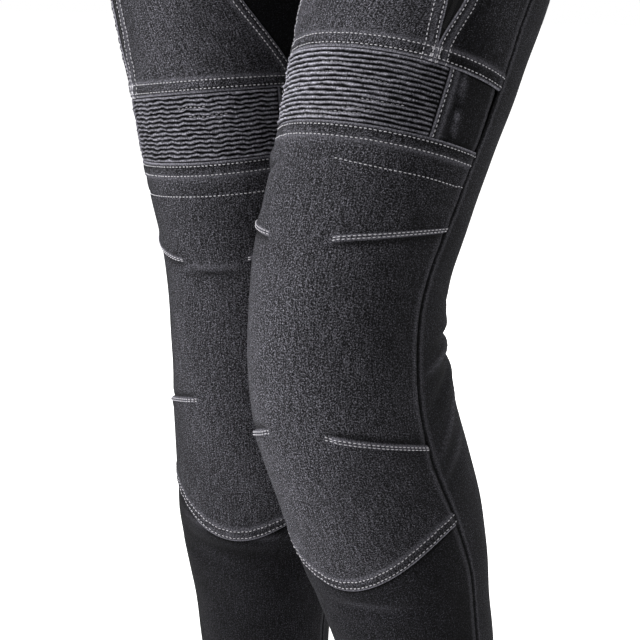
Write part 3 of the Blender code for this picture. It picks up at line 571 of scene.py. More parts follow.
class Panel:
    """A sewn piece of cloth: its grid of outer points, how far each is from each edge, and its object."""

    def __init__(self, name, rows, shares, place, lift, inside, edges, paint):
        self.name = name
        rows, shares = np.asarray(rows, float), np.asarray(shares, float)
        self.shape = (len(rows), len(shares))
        row, share = (values.ravel() for values in np.meshgrid(rows, shares, indexing="ij"))
        index_down, index_across = (values.ravel() for values in np.indices(self.shape))
        end_down = at_ends(index_down, len(rows) - 1) * SEAM_GAP / 2
        end_turn = at_ends(index_across, len(shares) - 1) * TURN_GAP / 2
        flat = self.grid(place(row, share, end_down, end_turn, np.zeros_like(row)))
        self.down, self.across = lengths_along(flat, 0), lengths_along(flat, 1)
        self.length, self.width = self.down[-1:, :], self.across[:, -1:]
        self.away = {
            "top": self.down, "bottom": self.length - self.down,
            "start": self.across, "end": self.width - self.across,
        }
        sewn_here = (row for row in EDGE_THREADS if name.endswith(f"{row[0]}_cloth"))
        threads = [(edge, inset) for _, edge, inset, _, _ in sewn_here]
        height = lift(row, share) + self.edge_height(edges, threads).ravel()
        outer = place(row, share, end_down, end_turn, height)
        inner = place(row, share, end_down, end_turn, np.full_like(row, inside))
        for points in (outer, inner):
            self.close_rise(self.grid(points), edges)
        self.outer = self.grid(outer)
        self.obj = self.mesh(outer, inner)
        # The paint rule gives the wash with painted shading, the worn edges with painted highlights, and the
        # painted shade.
        wear, rub, shade = paint(row, share)
        rub = np.maximum(self.rubbed(edges).ravel(), rub)
        self.paint(wear, rub, np.maximum(self.shaded(edges, threads).ravel(), shade))

    def close_rise(self, points, edges):
        """Sewn edges on the centre seam above the crotch meet in the middle."""
        for edge, column in (("start", 0), ("end", -1)):
            if edges.get(edge, PLAIN)[0] == "seam":
                side = points[:, column]
                meets = (side[:, 2] > -CROTCH) & (np.abs(side[:, 0]) < RISE_REACH)
                side[meets, 0] = np.sign(points[:, points.shape[1] // 2, 0])[meets] * RISE_GAP / 2

    def grid(self, points):
        return points.reshape(*self.shape, -1)

    def edge_height(self, edges, threads):
        """Edges roll over, folded ones stand proud, and the cloth puckers along them and its threads."""
        height = np.zeros(self.shape)
        for edge, (kind, fold) in edges.items():
            away = self.away[edge]
            depth, width = EDGE_ROLLS[kind]
            run = self.across if edge in ("top", "bottom") else self.down
            height -= depth * (1 - ease(away, 0.0, width))
            height += FOLD_RISE * (1 - ease(away, fold, fold + FOLD_ENDS)) * (fold > 0)
            wave = np.sin(run * (2 * math.pi / PUCKER_PITCH) + PUCKER_DRIFT * np.sin(run * PUCKER_PACE))
            fading = np.exp(-np.maximum(away - fold, 0) / PUCKER_REACH)
            height += PUCKER_RISE * wave * fading * ease(away, 0.0, PUCKER_STARTS)
        for edge, inset in threads:
            height -= stripe(self.away[edge] - inset, *THREAD_DIP)
        return height

    def rubbed(self, edges):
        """Where a folded edge has worn light, from 0 to 1."""
        worn = np.zeros(self.shape)
        for edge, (kind, fold) in edges.items():
            away = self.away[edge]
            if kind == "fold":
                worn = np.maximum(worn, stripe(away, *FOLD_EDGE_WORN))
                worn = np.maximum(worn, stripe(away - fold, *FOLD_LINE_WORN))
            if kind == "seam":
                worn = np.maximum(worn, stripe(away, *SEAM_WORN))
        return worn

    def shaded(self, edges, threads):
        """Painted shade, with some darker dye in seams, from 0 to 1: in seams, under folds and along the
        threads.
        """
        dark = np.zeros(self.shape)
        for edge, (kind, fold) in edges.items():
            away = self.away[edge]
            if kind == "fold":
                dark = np.maximum(dark, stripe(away - fold, *FOLD_LINE_PAINTED_SHADE) * (fold > 0))
            else:
                dark = np.maximum(dark, stripe(away, *EDGE_PAINTED_SHADE[kind]))
        for edge, inset in threads:
            dark = np.maximum(dark, stripe(self.away[edge] - inset, *THREAD_PAINTED_SHADE))
        return dark

    def mesh(self, outer, inner):
        """One closed mesh: the outer face, the inner face and the rim between them."""
        index, quads = grid_faces(self.shape)
        count = index.size
        rim = np.concatenate([index[0, :-1], index[:-1, -1], index[-1, :0:-1], index[:0:-1, 0]])
        following = np.roll(rim, -1)
        walls = np.stack([rim, rim + count, following + count, following], axis=-1)
        faces = np.concatenate([quads, quads[:, ::-1] + count, walls])
        mesh = bpy.data.meshes.new(self.name)
        mesh.from_pydata(np.concatenate([outer, inner]).tolist(), [], faces.tolist())
        bm = bmesh.new()
        bm.from_mesh(mesh)
        if bm.calc_volume(signed=True) < 0:
            bmesh.ops.reverse_faces(bm, faces=bm.faces)
        bm.to_mesh(mesh)
        bm.free()
        mesh.shade_smooth()
        mesh.set_sharp_from_angle(angle=math.radians(SHARP_ANGLE))
        return shown(self.name, mesh)

    def paint(self, wear, rub, shade):
        """Keeps the wash with its painted shading, the rubbed edges with painted highlights and the painted
        shade of seams and folds as attributes, and a UV map in metres on the cloth.
        """
        mesh = self.obj.data
        for name, values in (("wear", wear), ("rub", rub), ("shade", shade)):
            layer = mesh.attributes.new(name, "FLOAT", "POINT")
            layer.data.foreach_set("value", np.concatenate([values, values * 0]).astype(np.float32))
        middle = self.across - self.width / 2
        places = np.stack([middle, self.down], axis=-1).reshape(-1, 2)
        places = np.concatenate([places, places + (INNER_UV_SHIFT, 0.0)])
        corners = np.empty(len(mesh.loops), np.int32)
        mesh.loops.foreach_get("vertex_index", corners)
        uv = mesh.uv_layers.new(name="cloth")
        uv.data.foreach_set("uv", places[corners].astype(np.float32).ravel())

    def tree(self):
        """The outer face, for laying stitches on it."""
        _, quads = grid_faces(self.shape)
        return BVHTree.FromPolygons(self.outer.reshape(-1, 3).tolist(), quads.tolist())

    def along_edge(self, edge, inset, start=0.0, end=1.0):
        """Points on the cloth at one distance from an edge, between two shares of its run."""
        away = self.away[edge]
        if edge in ("start", "end"):
            away, points = away.T, self.outer.transpose(1, 0, 2)
        else:
            points = self.outer
        count = away.shape[1]
        found = []
        for k in range(int(round(start * (count - 1))), int(round(end * (count - 1))) + 1):
            order = np.argsort(away[:, k])
            found.append([np.interp(inset, away[order, k], points[order, k, axis]) for axis in range(3)])
        return np.array(found)


def at_ends(index, last):
    """1 at the first row or column, -1 at the last and 0 between them."""
    return (index == 0).astype(float) - (index == last)


# A panel's "at" rule takes the leg and the panel's rows and shares, and gives their places down and
# round the leg. Its "lift" takes the same and says how far the cloth stands off there.


def on_leg(leg, at):
    """Turns an "at" rule into points, set in from the panel's ends."""
    def place(row, share, end_down, end_turn, height):
        down, turn = at(leg, row, share)
        return cloth_point(leg, down + end_down, turn + end_turn, height)
    return place


def between(left, right):
    """Level rows between the turns that left and right give at each distance down."""
    return lambda leg, down, share: (down, left(down) + (right(down) - left(down)) * share)


def bowed_place(keys, front, share):
    edge = np.interp(front, keys[:, 0], keys[:, 1])
    side = side_turn(edge)
    turn = side * (2 * share - 1)
    off = np.abs(turn) / side
    hem_like = ease(front, *HEM_BOW)
    bow = off ** DART_BOW * (1 - hem_like) + ease(off, 0.0, 1.0) * hem_like
    return front + (edge - front) * bow, turn


def bowed(keys):
    """Rows of the knee and shin, which bow between their places in front and at the sides."""
    return lambda leg, front, share: bowed_place(keys, front, share)


def knee_top(turn):
    off = np.clip(np.abs(turn) / 90, 0, 1)
    return KNEE_KEYS[0, 0] + (KNEE_KEYS[0, 1] - KNEE_KEYS[0, 0]) * off ** DART_BOW


def rib_wander(leg, part_way, share):
    """How far the ribs wander, as a share of the panel's height. They crumple on the straight leg."""
    run = share * 2 * math.pi
    drift = 2.2 * np.sin(part_way * 11) + 5 * part_way
    ends = ease(np.minimum(share, 1 - share), 0.0, 0.06)
    waves = RIB_WAVES[leg.name]
    return ends * sum(height * np.sin(pace * run + shift * drift) for height, pace, shift in waves)


def above_knee(first_turn, last_turn):
    """Between the thigh band and the knee patch, by share of the height there."""
    def at(leg, part_way, share):
        turn = first_turn + (last_turn - first_turn) * share
        return THIGH_BAND + (knee_top(turn) - THIGH_BAND) * part_way, turn
    return at


def among_ribs(leg, part_way, share):
    """The ribbed panel's rows wander, except at its ends."""
    loose = ease(np.minimum(part_way, 1 - part_way), 0.0, 0.08)
    wandered = part_way + rib_wander(leg, part_way, share) * loose
    return above_knee(*RIB_TURNS)(leg, wandered, share)


def rib_lift(leg, part_way, share):
    """Rounded ribs between narrow stitched grooves, uneven along their length."""
    rib = part_way * RIB_COUNT
    number = np.floor(np.clip(rib, 0, RIB_COUNT - 0.001))
    round_top = 1 - np.abs(2 * (rib - number) - 1) ** 2.6
    lumps = np.sin(share * 150 + number * 2.1) * np.sin(share * 61 + number * 4.7)
    lumps += 0.8 * np.sin(number * 12.9 + 3 * np.sin(share * 5 + number))
    uneven = 1 + RIB_UNEVEN[leg.name] * lumps
    return RIB_BASE + RIB_RISE * round_top * uneven * ease(np.minimum(share, 1 - share), -0.01, 0.025)


def dart_height(front, turn):
    """Each dart is a narrow welt with a tuck below it, or above it at the lower dart."""
    height = np.zeros_like(front)
    beyond_tip = ease(np.abs(turn), DART_TIP, DART_TIP + 4)
    for dart, tuck in ((UPPER_DART, 1), (LOWER_DART, -1)):
        off = (front - dart) * tuck
        height += WELT_RISE * (1 - ease(np.abs(off), *WELT_EDGES)) * beyond_tip
        height += (stripe(off, *DART_SWELL) - stripe(off, *TUCK)) * beyond_tip
        depth, tall, wide = TIP_DIMPLE
        height -= depth * spot(off, np.abs(turn), 0.0, DART_TIP, tall, wide)
    return height


def dart_shade(front, turn):
    """Painted shade in the tuck beside each dart."""
    dark = np.zeros_like(front)
    for dart, tuck in ((UPPER_DART, 1), (LOWER_DART, -1)):
        off = (front - dart) * tuck
        dark += sum(stripe(off, *row) for row in TUCK_PAINTED_SHADE)
    return np.clip(dark, 0, 1) * ease(np.abs(turn), DART_TIP - 1, DART_TIP + 3)


def dart_rub(front, turn):
    """The darts' folded edges have worn light."""
    worn = np.zeros_like(front)
    for dart in (UPPER_DART, LOWER_DART):
        worn += stripe(np.abs(front - dart), *WELT_WORN)
    return worn * ease(np.abs(turn), DART_TIP - 1, DART_TIP + 3)


def knee_lift(leg, front, share):
    """Welted darts, and the stitched channel across the top, which stops half way on the bent knee."""
    _, turn = bowed_place(KNEE_KEYS, front, share)
    begins = CHANNEL_BEGINS[leg.name]
    channel = stripe(front, *CHANNEL_PUFF) - stripe(front, *CHANNEL_DIP)
    return dart_height(front, turn) + channel * ease(turn, begins, begins + CHANNEL_FADE)


def gusset_puckers(part_way, share):
    """The puckers over the inner seam beside the ribs, and the dip between them and the ribs."""
    off = share - 0.20 - 0.14 * part_way
    swell = np.sin(part_way * 34 + 2 * np.sin(part_way * 11)) * np.sin(part_way * 71 + share * 9)
    return bell(off - 0.05, 0.060) * (0.5 + 0.5 * swell), bell(off, 0.022)


def gusset_lift(leg, part_way, share):
    puckers, dip = gusset_puckers(part_way, share)
    return 0.0014 * puckers - 0.0010 * dip


def flat_lift(leg, row, share):
    return np.zeros_like(row)


def zip_half_turn(down):
    widening = (down - ZIP_TOP) / (ZIP_FULL_WIDTH[0] - ZIP_TOP)
    narrowing = (ZIP_BOTTOM - down) / (ZIP_BOTTOM - ZIP_FULL_WIDTH[1])
    return ZIP_HALF_TURN * np.clip(np.minimum(widening, narrowing), 0.0, 1.0)


def zip_front_edge(down):
    return seam_turn(ZIP_LINE, down) - zip_half_turn(down)


def zip_back_edge(down):
    return seam_turn(ZIP_LINE, down) + zip_half_turn(down)


def thigh_seam_turn(down):
    return seam_turn(THIGH_SEAM, down)


def inseam_front(down):
    return np.full_like(down, -90.0)


def inseam_back(down):
    return 360 - side_turn(down)


def blotches(leg, down, turn):
    """Slow changes of the wash, from -1 to 1."""
    angle = np.radians(turn)
    return np.sin(31 * down + 2 * np.sin(angle + leg.side)) * np.sin(3 * angle + 17 * down + leg.side)


def spot(down, turn, middle, around, tall, wide):
    return np.exp(-((down - middle) / tall) ** 2 - ((turn - around) / wide) ** 2)


def wash(leg, panel_name, down, turn):
    """How light the wash and painted light leave the cloth, from 0 to 1: painted shade towards the sides and
    on the right leg, and a painted highlight across the back panel away from the side seam.
    """
    worn = PANEL_WASH[panel_name] + CLOUDING * blotches(leg, down, turn)
    for strength, *where in FADED.get(panel_name, ()):
        worn += strength * spot(down, turn, *where)
    # Towards a side: painted shade, partly the wash's own fall; below zero, a painted highlight.
    if panel_name in WASH_AND_SHADE_FALLS:
        amount, begins, ends = WASH_AND_SHADE_FALLS[panel_name]
        worn -= amount * ease(np.abs(turn) if panel_name == "knee_patch" else turn, begins, ends)
    # Painted shade over the far right leg.
    if leg.name == "right":
        worn -= RIGHT_LEG_PAINTED_SHADE
    return np.clip(worn, 0, 1)


# Paint rules give the wash with its painted shading, the rubbed edges with painted highlights, and the
# painted shade of a panel, each from 0 to 1.


def denim_paint(leg, panel_name, at, row, share):
    """The wash with painted shading, painted highlights and painted shade along the creases, and on the knee
    its darts' worn edges and painted shade and the worn row under its fold.
    """
    down, turn = at(leg, row, share)
    worn = wash(leg, panel_name, down, turn)
    rub, dark = (crease_height(table[leg.name], down, turn) for table in (CREASE_PAINTED_HIGHLIGHTS, CREASE_PAINTED_SHADE))
    if panel_name == "knee_patch":
        worn = worn + stripe(row, *UNDER_FOLD_WORN) * (1 - ease(np.abs(turn), 20, 60))
        rub = np.maximum(rub, dart_rub(row, turn))
        dark = np.maximum(dark, dart_shade(row, turn))
    return worn, rub, dark


def gusset_paint(leg, panel_name, at, part_way, share):
    """The outer gusset's puckers are lighter, partly wear and partly painted highlight, with painted shade
    in the dip beside the ribs. The inner one is plain.
    """
    puckers, dip = gusset_puckers(part_way, share)
    if panel_name == "outer_gusset":
        return 0.08 + 0.9 * puckers, 0.45 * puckers ** 2, 0.8 * dip
    return 0 * share + 0.10, 0 * share, 0 * share


def rib_paint(leg, panel_name, at, part_way, share):
    """The ribs' tops are light, partly wear and partly painted highlight, fading to painted shade towards
    the outer side and on the right leg; the grooves get painted shade.
    """
    rib = part_way * RIB_COUNT
    top = 1 - np.abs(2 * (rib - np.floor(rib)) - 1) ** 1.3
    lit = 0.85 * ease(top, 0.42, 1.0) + 0.14 * np.sin(share * 60) * np.sin(rib * 2.3)
    lit *= RIB_PAINTED_LIGHT[leg.name] * (1 - RIB_PAINTED_SHADE_FADE[leg.name] * ease(share, 0.40, 1.0))
    return np.clip(lit, 0, 1), 0 * share, 0.9 * (1 - ease(top, 0.05, 0.40))


def node(tree, kind, inputs=None, **settings):
    """A node with its inputs linked from sockets, or set to plain values."""
    made = tree.nodes.new(kind)
    for name, value in settings.items():
        setattr(made, name, value)
    for key, value in (inputs or {}).items():
        if isinstance(value, bpy.types.NodeSocket):
            tree.links.new(value, made.inputs[key])
        else:
            made.inputs[key].default_value = value
    return made


def math_node(tree, operation, first, second):
    return node(tree, "ShaderNodeMath", {0: first, 1: second}, operation=operation).outputs[0]


def vector_node(tree, operation, inputs):
    return node(tree, "ShaderNodeVectorMath", inputs, operation=operation).outputs[0]


def mixed(tree, share, first, second):
    """A colour mix."""
    return node(tree, "ShaderNodeMix", {0: share, 6: first, 7: second}, data_type="RGBA").outputs[2]


def noise(tree, vector, scale, detail, roughness):
    place = vector_node(tree, "MULTIPLY", {0: vector, 1: scale})
    inputs = {"Vector": place, "Scale": 1.0, "Detail": detail, "Roughness": roughness}
    return node(tree, "ShaderNodeTexNoise", inputs, noise_dimensions="3D").outputs["Fac"]


def spread_out(tree, value, **levels):
    """Maps a value from one range to another. Ranges that aren't given are 0 to 1."""
    inputs = {name.replace("_", " "): level for name, level in levels.items()}
    return node(tree, "ShaderNodeMapRange", {"Value": value, **inputs}).outputs["Result"]


def grey(value, blue=1.13):
    return (value, value * 0.98, value * blue, 1.0)


# The weave's noises, from cloth coordinates in metres: how fine they are across and down the cloth,
# their detail and roughness, and the levels between which they are stretched to the full range.
WEAVE_NOISES = {
    "cloud": ((34.0, 26.0, 1.0), 3.0, 0.6, None),
    "mottle": ((330.0, 190.0, 1.0), 3.0, 0.65, None),
    "twill": ((1200.0, 720.0, 1.0), 1.0, 0.6, (0.38, 0.62)),
    "fleck": ((950.0, 950.0, 1.0), 1.0, 0.7, (0.56, 0.70)),
    "warp": ((1100.0, 60.0, 1.0), 2.0, 0.6, (0.35, 0.65)),
    "weft": ((150.0, 1500.0, 1.0), 2.0, 0.6, (0.35, 0.65)),
}
TWILL_SLANT = -33
WASH_SHARES = {"cloud": 0.50, "mottle": 0.45}
GRAIN_SHARES = {"twill": 0.52, "fleck": 0.90, "warp": 0.32, "weft": 0.12}
GRAIN_MIDDLE = 0.60
GRAIN_FLOOR = 0.12
MOTTLE_RELIEF = 0.8
RUB_LEAST = 0.30
RUB_AND_HIGHLIGHT_COLOUR = grey(0.42)
SHADE_DEPTH = 0.88
FLECK_COLOUR = (0.022, 0.022, 0.025)


def weave_group():
    """Denim: diagonal twill, uneven warp threads and a cloudy wash, from cloth coordinates in metres,
    darkened by painted shade and lightened by worn edges and painted highlights.
    """
    tree = bpy.data.node_groups.new("Denim weave", "ShaderNodeTree")
    sockets = (
        ("INPUT", "Vector", ("Cloth",)), ("INPUT", "Color", ("Dark", "Light")),
        ("INPUT", "Float", ("Wear", "Rub", "Shade", "Contrast")),
        ("OUTPUT", "Color", ("Colour",)), ("OUTPUT", "Float", ("Height",)),
    )
    for way, kind, names in sockets:
        for name in names:
            tree.interface.new_socket(name, in_out=way, socket_type=f"NodeSocket{kind}")
    given = node(tree, "NodeGroupInput").outputs
    cloth = given["Cloth"]
    slant = {"Vector": cloth, "Rotation": (0.0, 0.0, math.radians(TWILL_SLANT))}
    slanted = node(tree, "ShaderNodeMapping", slant).outputs["Vector"]
    parts = {}
    for name, (scale, detail, roughness, levels) in WEAVE_NOISES.items():
        parts[name] = noise(tree, slanted if name == "twill" else cloth, scale, detail, roughness)
        if levels:
            parts[name] = spread_out(tree, parts[name], From_Min=levels[0], From_Max=levels[1])
    # The wash, with its painted shading, mixes the dark and light colours.
    washed = given["Wear"]
    for name, share in WASH_SHARES.items():
        off_middle = math_node(tree, "SUBTRACT", parts[name], 0.5)
        washed = math_node(tree, "ADD", washed, math_node(tree, "MULTIPLY", off_middle, share))
    washed.node.use_clamp = True
    grain = 0.0
    for name, share in GRAIN_SHARES.items():
        grain = math_node(tree, "ADD", grain, math_node(tree, "MULTIPLY", parts[name], share))
    off_middle = math_node(tree, "SUBTRACT", grain, GRAIN_MIDDLE)
    swing = math_node(tree, "MULTIPLY", off_middle, given["Contrast"])
    level = math_node(tree, "MAXIMUM", math_node(tree, "ADD", swing, 1.0), GRAIN_FLOOR)
    body = mixed(tree, washed, given["Dark"], given["Light"])
    tinted = vector_node(tree, "SCALE", {0: body, "Scale": level})
    flecked = vector_node(tree, "MULTIPLY_ADD", {0: parts["fleck"], 1: FLECK_COLOUR, 2: tinted})
    # Painted shade darkens the colour where the Shade attribute is high.
    recess = math_node(tree, "SUBTRACT", 1.0, math_node(tree, "MULTIPLY", given["Shade"], SHADE_DEPTH))
    shadowed = vector_node(tree, "SCALE", {0: flecked, "Scale": recess})
    # Worn edges and painted highlights turn the colour towards a pale grey.
    patchy = spread_out(tree, parts["twill"], To_Min=RUB_LEAST)
    worn = mixed(tree, math_node(tree, "MULTIPLY", given["Rub"], patchy), shadowed, RUB_AND_HIGHLIGHT_COLOUR)
    relief = math_node(tree, "ADD", grain, math_node(tree, "MULTIPLY", parts["mottle"], MOTTLE_RELIEF))
    node(tree, "NodeGroupOutput", {"Colour": worn, "Height": relief})
    return tree


WEAVE = weave_group()


def new_material(name):
    found = bpy.data.materials.new(name)
    found.use_nodes = True
    return found, found.node_tree, found.node_tree.nodes["Principled BSDF"]


def finish_shader(tree, shader, colour, height, bump, distance, **values):
    """Gives the shader its colour, its relief and its plain values."""
    relief = node(tree, "ShaderNodeBump", {"Strength": bump, "Distance": distance, "Height": height})
    tree.links.new(colour, shader.inputs["Base Color"])
    tree.links.new(relief.outputs["Normal"], shader.inputs["Normal"])
    for name, value in values.items():
        shader.inputs[name.replace("_", " ")].default_value = value


def cloth_material(name, dark, light, contrast, bump, sheen):
    found, tree, shader = new_material(name)
    inputs = {"Cloth": node(tree, "ShaderNodeUVMap", uv_map="cloth").outputs["UV"]}
    for attribute in ("wear", "rub", "shade"):
        source = node(tree, "ShaderNodeAttribute", attribute_name=attribute)
        inputs[attribute.title()] = source.outputs["Fac"]
    weave = node(tree, "ShaderNodeGroup", node_tree=WEAVE)
    for key, socket in inputs.items():
        tree.links.new(socket, weave.inputs[key])
    for key, value in (("Dark", dark), ("Light", light), ("Contrast", contrast)):
        weave.inputs[key].default_value = value
    finish_shader(
        tree, shader, weave.outputs["Colour"], weave.outputs["Height"], bump, 0.0004, Roughness=0.92,
        Sheen_Weight=sheen, Sheen_Roughness=0.45, Sheen_Tint=grey(0.6), Specular_IOR_Level=0.22,
    )
    return found


def grain_material(name, colour, roughness, metallic, scale, spread, bump):
    """Thread, tape and metal: one colour with fine uneven grain on Object coordinates."""
    found, tree, shader = new_material(name)
    place = node(tree, "ShaderNodeTexCoord").outputs["Object"]
    fleck = noise(tree, place, (scale, scale, scale), 3.0, 0.6)
    shade = spread_out(tree, fleck, To_Min=1 - spread, To_Max=1 + spread)
    tint = vector_node(tree, "SCALE", {0: colour[:3], "Scale": shade})
    finish_shader(tree, shader, tint, fleck, bump, 0.0002, Roughness=roughness, Metallic=metallic)
    return found


# Cloth: its dark and its washed colour, contrast, relief and sheen. The rest: colour, roughness,
# metal or not, how fine the grain is, how far it spreads, and its relief.
FINISHES = {
    "washed denim": cloth_material("Washed charcoal denim", grey(0.003, 1.5), grey(0.091), 5.0, 0.90, 0.02),
    "dark denim": cloth_material(
        "Dark charcoal denim", grey(0.002, 1.5), grey(0.035, 1.2), 5.0, 0.85, 0.015
    ),
    "ribbed stretch": cloth_material(
        "Ribbed stretch denim", grey(0.001, 1.5), grey(0.560), 1.5, 0.80, 0.015
    ),
    "thread": grain_material("Pale grey thread", grey(0.78, 1.04), 0.75, 0.0, 2600.0, 0.30, 0.5),
    "zip tape": grain_material("Black zip tape", grey(0.006), 0.90, 0.0, 2200.0, 0.30, 0.6),
    "zip coil": grain_material("Black zip coil", grey(0.010), 0.42, 0.0, 900.0, 0.20, 0.1),
    "zip metal": grain_material("Dark plated metal", grey(0.10), 0.34, 1.0, 700.0, 0.18, 0.08),
}
SLOTS = {"washed denim": "washed_denim", "dark denim": "dark_denim", "ribbed stretch": "ribbed_stretch"}


def thigh_rows():
    marks = (WAISTBAND_DEPTH, THIGH_BAND - BAND_FOLD, THIGH_BAND - 0.0030, THIGH_BAND)
    return stations(WAISTBAND_DEPTH - UNDER_BAND, THIGH_BAND, GRID, marks)


def knee_rows():
    marks = (*KNEE_KEYS[[0, 2, -2, -1], 0], TOP_FOLD_ENDS, UPPER_DART, LOWER_DART)
    return stations(KNEE_KEYS[0, 0], KNEE_KEYS[-1, 0], GRID, marks)


def shin_rows():
    marks = (SHIN_KEYS[0, 0], LEG_LENGTH - HEM_FOLD, LEG_LENGTH)
    return stations(SHIN_KEYS[0, 0], LEG_LENGTH, GRID, marks)


def back_rows():
    marks = (WAISTBAND_DEPTH, LEG_LENGTH - HEM_FOLD, LEG_LENGTH)
    return stations(WAISTBAND_DEPTH - UNDER_BAND, LEG_LENGTH, GRID, marks)


def rib_rows():
    return np.linspace(0, 1, ROWS_TO_A_RIB * RIB_COUNT + 1)


def gusset_rows():
    return stations(0.0, 1.0, 0.06, (0.0, 1.0))


# Each sewn panel: its rows, its width for the grid, its "at" rule, lift, paint and finish, and how
# its edges lie.
PANELS = (
    # The front panel's dark denim and low wash are partly painted shade over the inner thigh.
    ("front_panel", thigh_rows, 0.110, between(inseam_front, thigh_seam_turn), flat_lift, denim_paint,
     "dark denim", {"top": PLAIN, "bottom": ("fold", BAND_FOLD), "start": SEAM, "end": PLAIN}),
    ("thigh_panel", thigh_rows, 0.110, between(thigh_seam_turn, zip_front_edge), flat_lift, denim_paint,
     "washed denim",
     {"top": PLAIN, "bottom": ("fold", BAND_FOLD), "start": ("fold", 0.008), "end": ("fold", 0.006)}),
    ("side_panel", thigh_rows, 0.060, between(zip_back_edge, side_turn), flat_lift, denim_paint,
     "washed denim", {"top": PLAIN, "bottom": ("fold", BAND_FOLD), "start": ("fold", 0.006), "end": SEAM}),
    ("rib_panel", rib_rows, 0.150, among_ribs, rib_lift, rib_paint,
     "ribbed stretch", {"start": PLAIN, "end": PLAIN}),
    ("outer_gusset", gusset_rows, 0.045, above_knee(RIB_TURNS[1], 90.0), gusset_lift, gusset_paint,
     "dark denim", {"top": PLAIN, "bottom": PLAIN, "start": ("fold", 0.006), "end": SEAM}),
    ("inner_gusset", gusset_rows, 0.045, above_knee(-90.0, RIB_TURNS[0]), flat_lift, gusset_paint,
     "dark denim", {"top": PLAIN, "bottom": PLAIN, "start": SEAM, "end": ("fold", 0.006)}),
    ("knee_patch", knee_rows, 0.210, bowed(KNEE_KEYS), knee_lift, denim_paint,
     "washed denim", {"top": ("fold", 0.0108), "bottom": ("fold", 0.0095), "start": SEAM, "end": SEAM}),
    ("shin_panel", shin_rows, 0.170, bowed(SHIN_KEYS), flat_lift, denim_paint,
     "dark denim", {"top": PLAIN, "bottom": ("fold", HEM_FOLD), "start": SEAM, "end": SEAM}),
    ("back_panel", back_rows, 0.240, between(side_turn, inseam_back), flat_lift, denim_paint,
     "dark denim", {"top": PLAIN, "bottom": ("fold", HEM_FOLD), "start": SEAM, "end": SEAM}),
)


def sew(panel, node_name, finish, slot_name):
    """Dresses the CAD panel: the cloth takes its finish and rides the garment, the CAD part is hidden, and
    the sheet's width, length and area are printed.
    """
    obj = panel.obj
    obj.data.materials.append(FINISHES[finish])
    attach(obj, "garment")
    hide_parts(node_name)
    outer = panel.outer
    first = np.cross(outer[1:, 1:] - outer[:-1, :-1], outer[1:, :-1] - outer[:-1, 1:])
    area = float(np.linalg.norm(first, axis=2).sum() / 2)
    width, length = float(panel.width.max()), float(panel.length.max())
    print("sheet", node_name, round(width, 4), round(length, 4), round(area, 5))
    max(width, area / length)


PIECES = {}
for leg in LEGS.values():
    for name, rows, width, at, lift, paint, finish, edges in PANELS:
        full = f"{leg.name}_{name}"
        inside = RIB_BASE - WALL if name == "rib_panel" else -WALL
        shares = across_stations(width, RIB_GRID if name == "rib_panel" else GRID)
        panel = Panel(
            f"{full}_cloth", rows(), shares, on_leg(leg, at), partial(lift, leg), inside, edges,
            partial(paint, leg, name, at),
        )
        sew(panel, full, finish, SLOTS[finish])
        PIECES[full] = panel


def waist_place(down, around, lift):
    """Points round the waist by the angle from centre front, by the wearer's left side."""
    angle = np.radians(around)
    half_width, front, back = (through(TRUNK_RINGS[:, 0], reach, down) for reach in TRUNK_RINGS.T[1:])
    depth = np.where(np.cos(angle) > 0, front, back)
    outwards = np.stack([np.sin(angle) / half_width, -np.cos(angle) / depth, np.zeros_like(down)], axis=1)
    ring = np.stack([half_width * np.sin(angle), -depth * np.cos(angle), -down], axis=1)
    return ring + unit(outwards) * lift[:, None]


def band_place(down, share, end_down, end_turn, lift):
    start, end = WAISTBAND_ENDS
    around = start + (end - start) * share
    lap = LAP_RISE * (1 - ease(around, *LAP_SETTLES))
    return waist_place(down + end_down, around, lift + lap)


def waistband():
    rows = stations(0.0, WAISTBAND_DEPTH, GRID, (0.0, WAISTBAND_DEPTH))

    def lift(down, share):
        sewn = np.minimum(down, WAISTBAND_DEPTH - down)
        return WAISTBAND_RISE - stripe(sewn, *WAIST_THREAD_DIP)

    def paint(down, share):
        return 0.36 + 0.08 * np.sin(share * 40) * np.sin(share * 13), 0 * share, 0 * share

    fold = ("fold", 0.0)
    edges = {"top": fold, "bottom": fold, "start": fold, "end": fold}
    inside = WAISTBAND_RISE - WAISTBAND_WALL
    return Panel("waistband_cloth", rows, across_stations(0.83), band_place, lift, inside, edges, paint)


PIECES["waistband"] = waistband()
sew(PIECES["waistband"], "waistband", "washed denim", "washed_denim")


def shape_from(bm, name):
    """A smooth object outside the scene, for setting along paths."""
    mesh = bpy.data.meshes.new(name)
    bm.to_mesh(mesh)
    bm.free()
    mesh.shade_smooth()
    return bpy.data.objects.new(name, mesh)


# Rings of one stitch: how far along it, their size, and how far they rise.
STITCH_RINGS = (
    (-0.50, 0.15, -0.9), (-0.40, 0.75, -0.15), (0.0, 1.0, 0.10), (0.40, 0.75, -0.15), (0.50, 0.15, -0.9),
)


def stitch_shape():
    """One stitch: a short thread, sunk at both ends, with few faces."""
    bm = bmesh.new()
    rings = []
    for along, size, rise in STITCH_RINGS:
        ring = []
        for k in range(STITCH_SIDES):
            angle = math.radians(360 / STITCH_SIDES * k)
            across = STITCH_RADIUS * size * math.cos(angle)
            up = STITCH_RADIUS * (size * math.sin(angle) + rise)
            ring.append(bm.verts.new((across, STITCH_LENGTH * along, up)))
        rings.append(ring)
    for ring, following in zip(rings, rings[1:]):
        for k in range(STITCH_SIDES):
            after = (k + 1) % STITCH_SIDES
            bm.faces.new((ring[k], ring[after], following[after], following[k]))
    bm.faces.new(rings[0][::-1])
    bm.faces.new(rings[-1])
    bmesh.ops.recalc_face_normals(bm, faces=bm.faces)
    return shape_from(bm, "stitch")


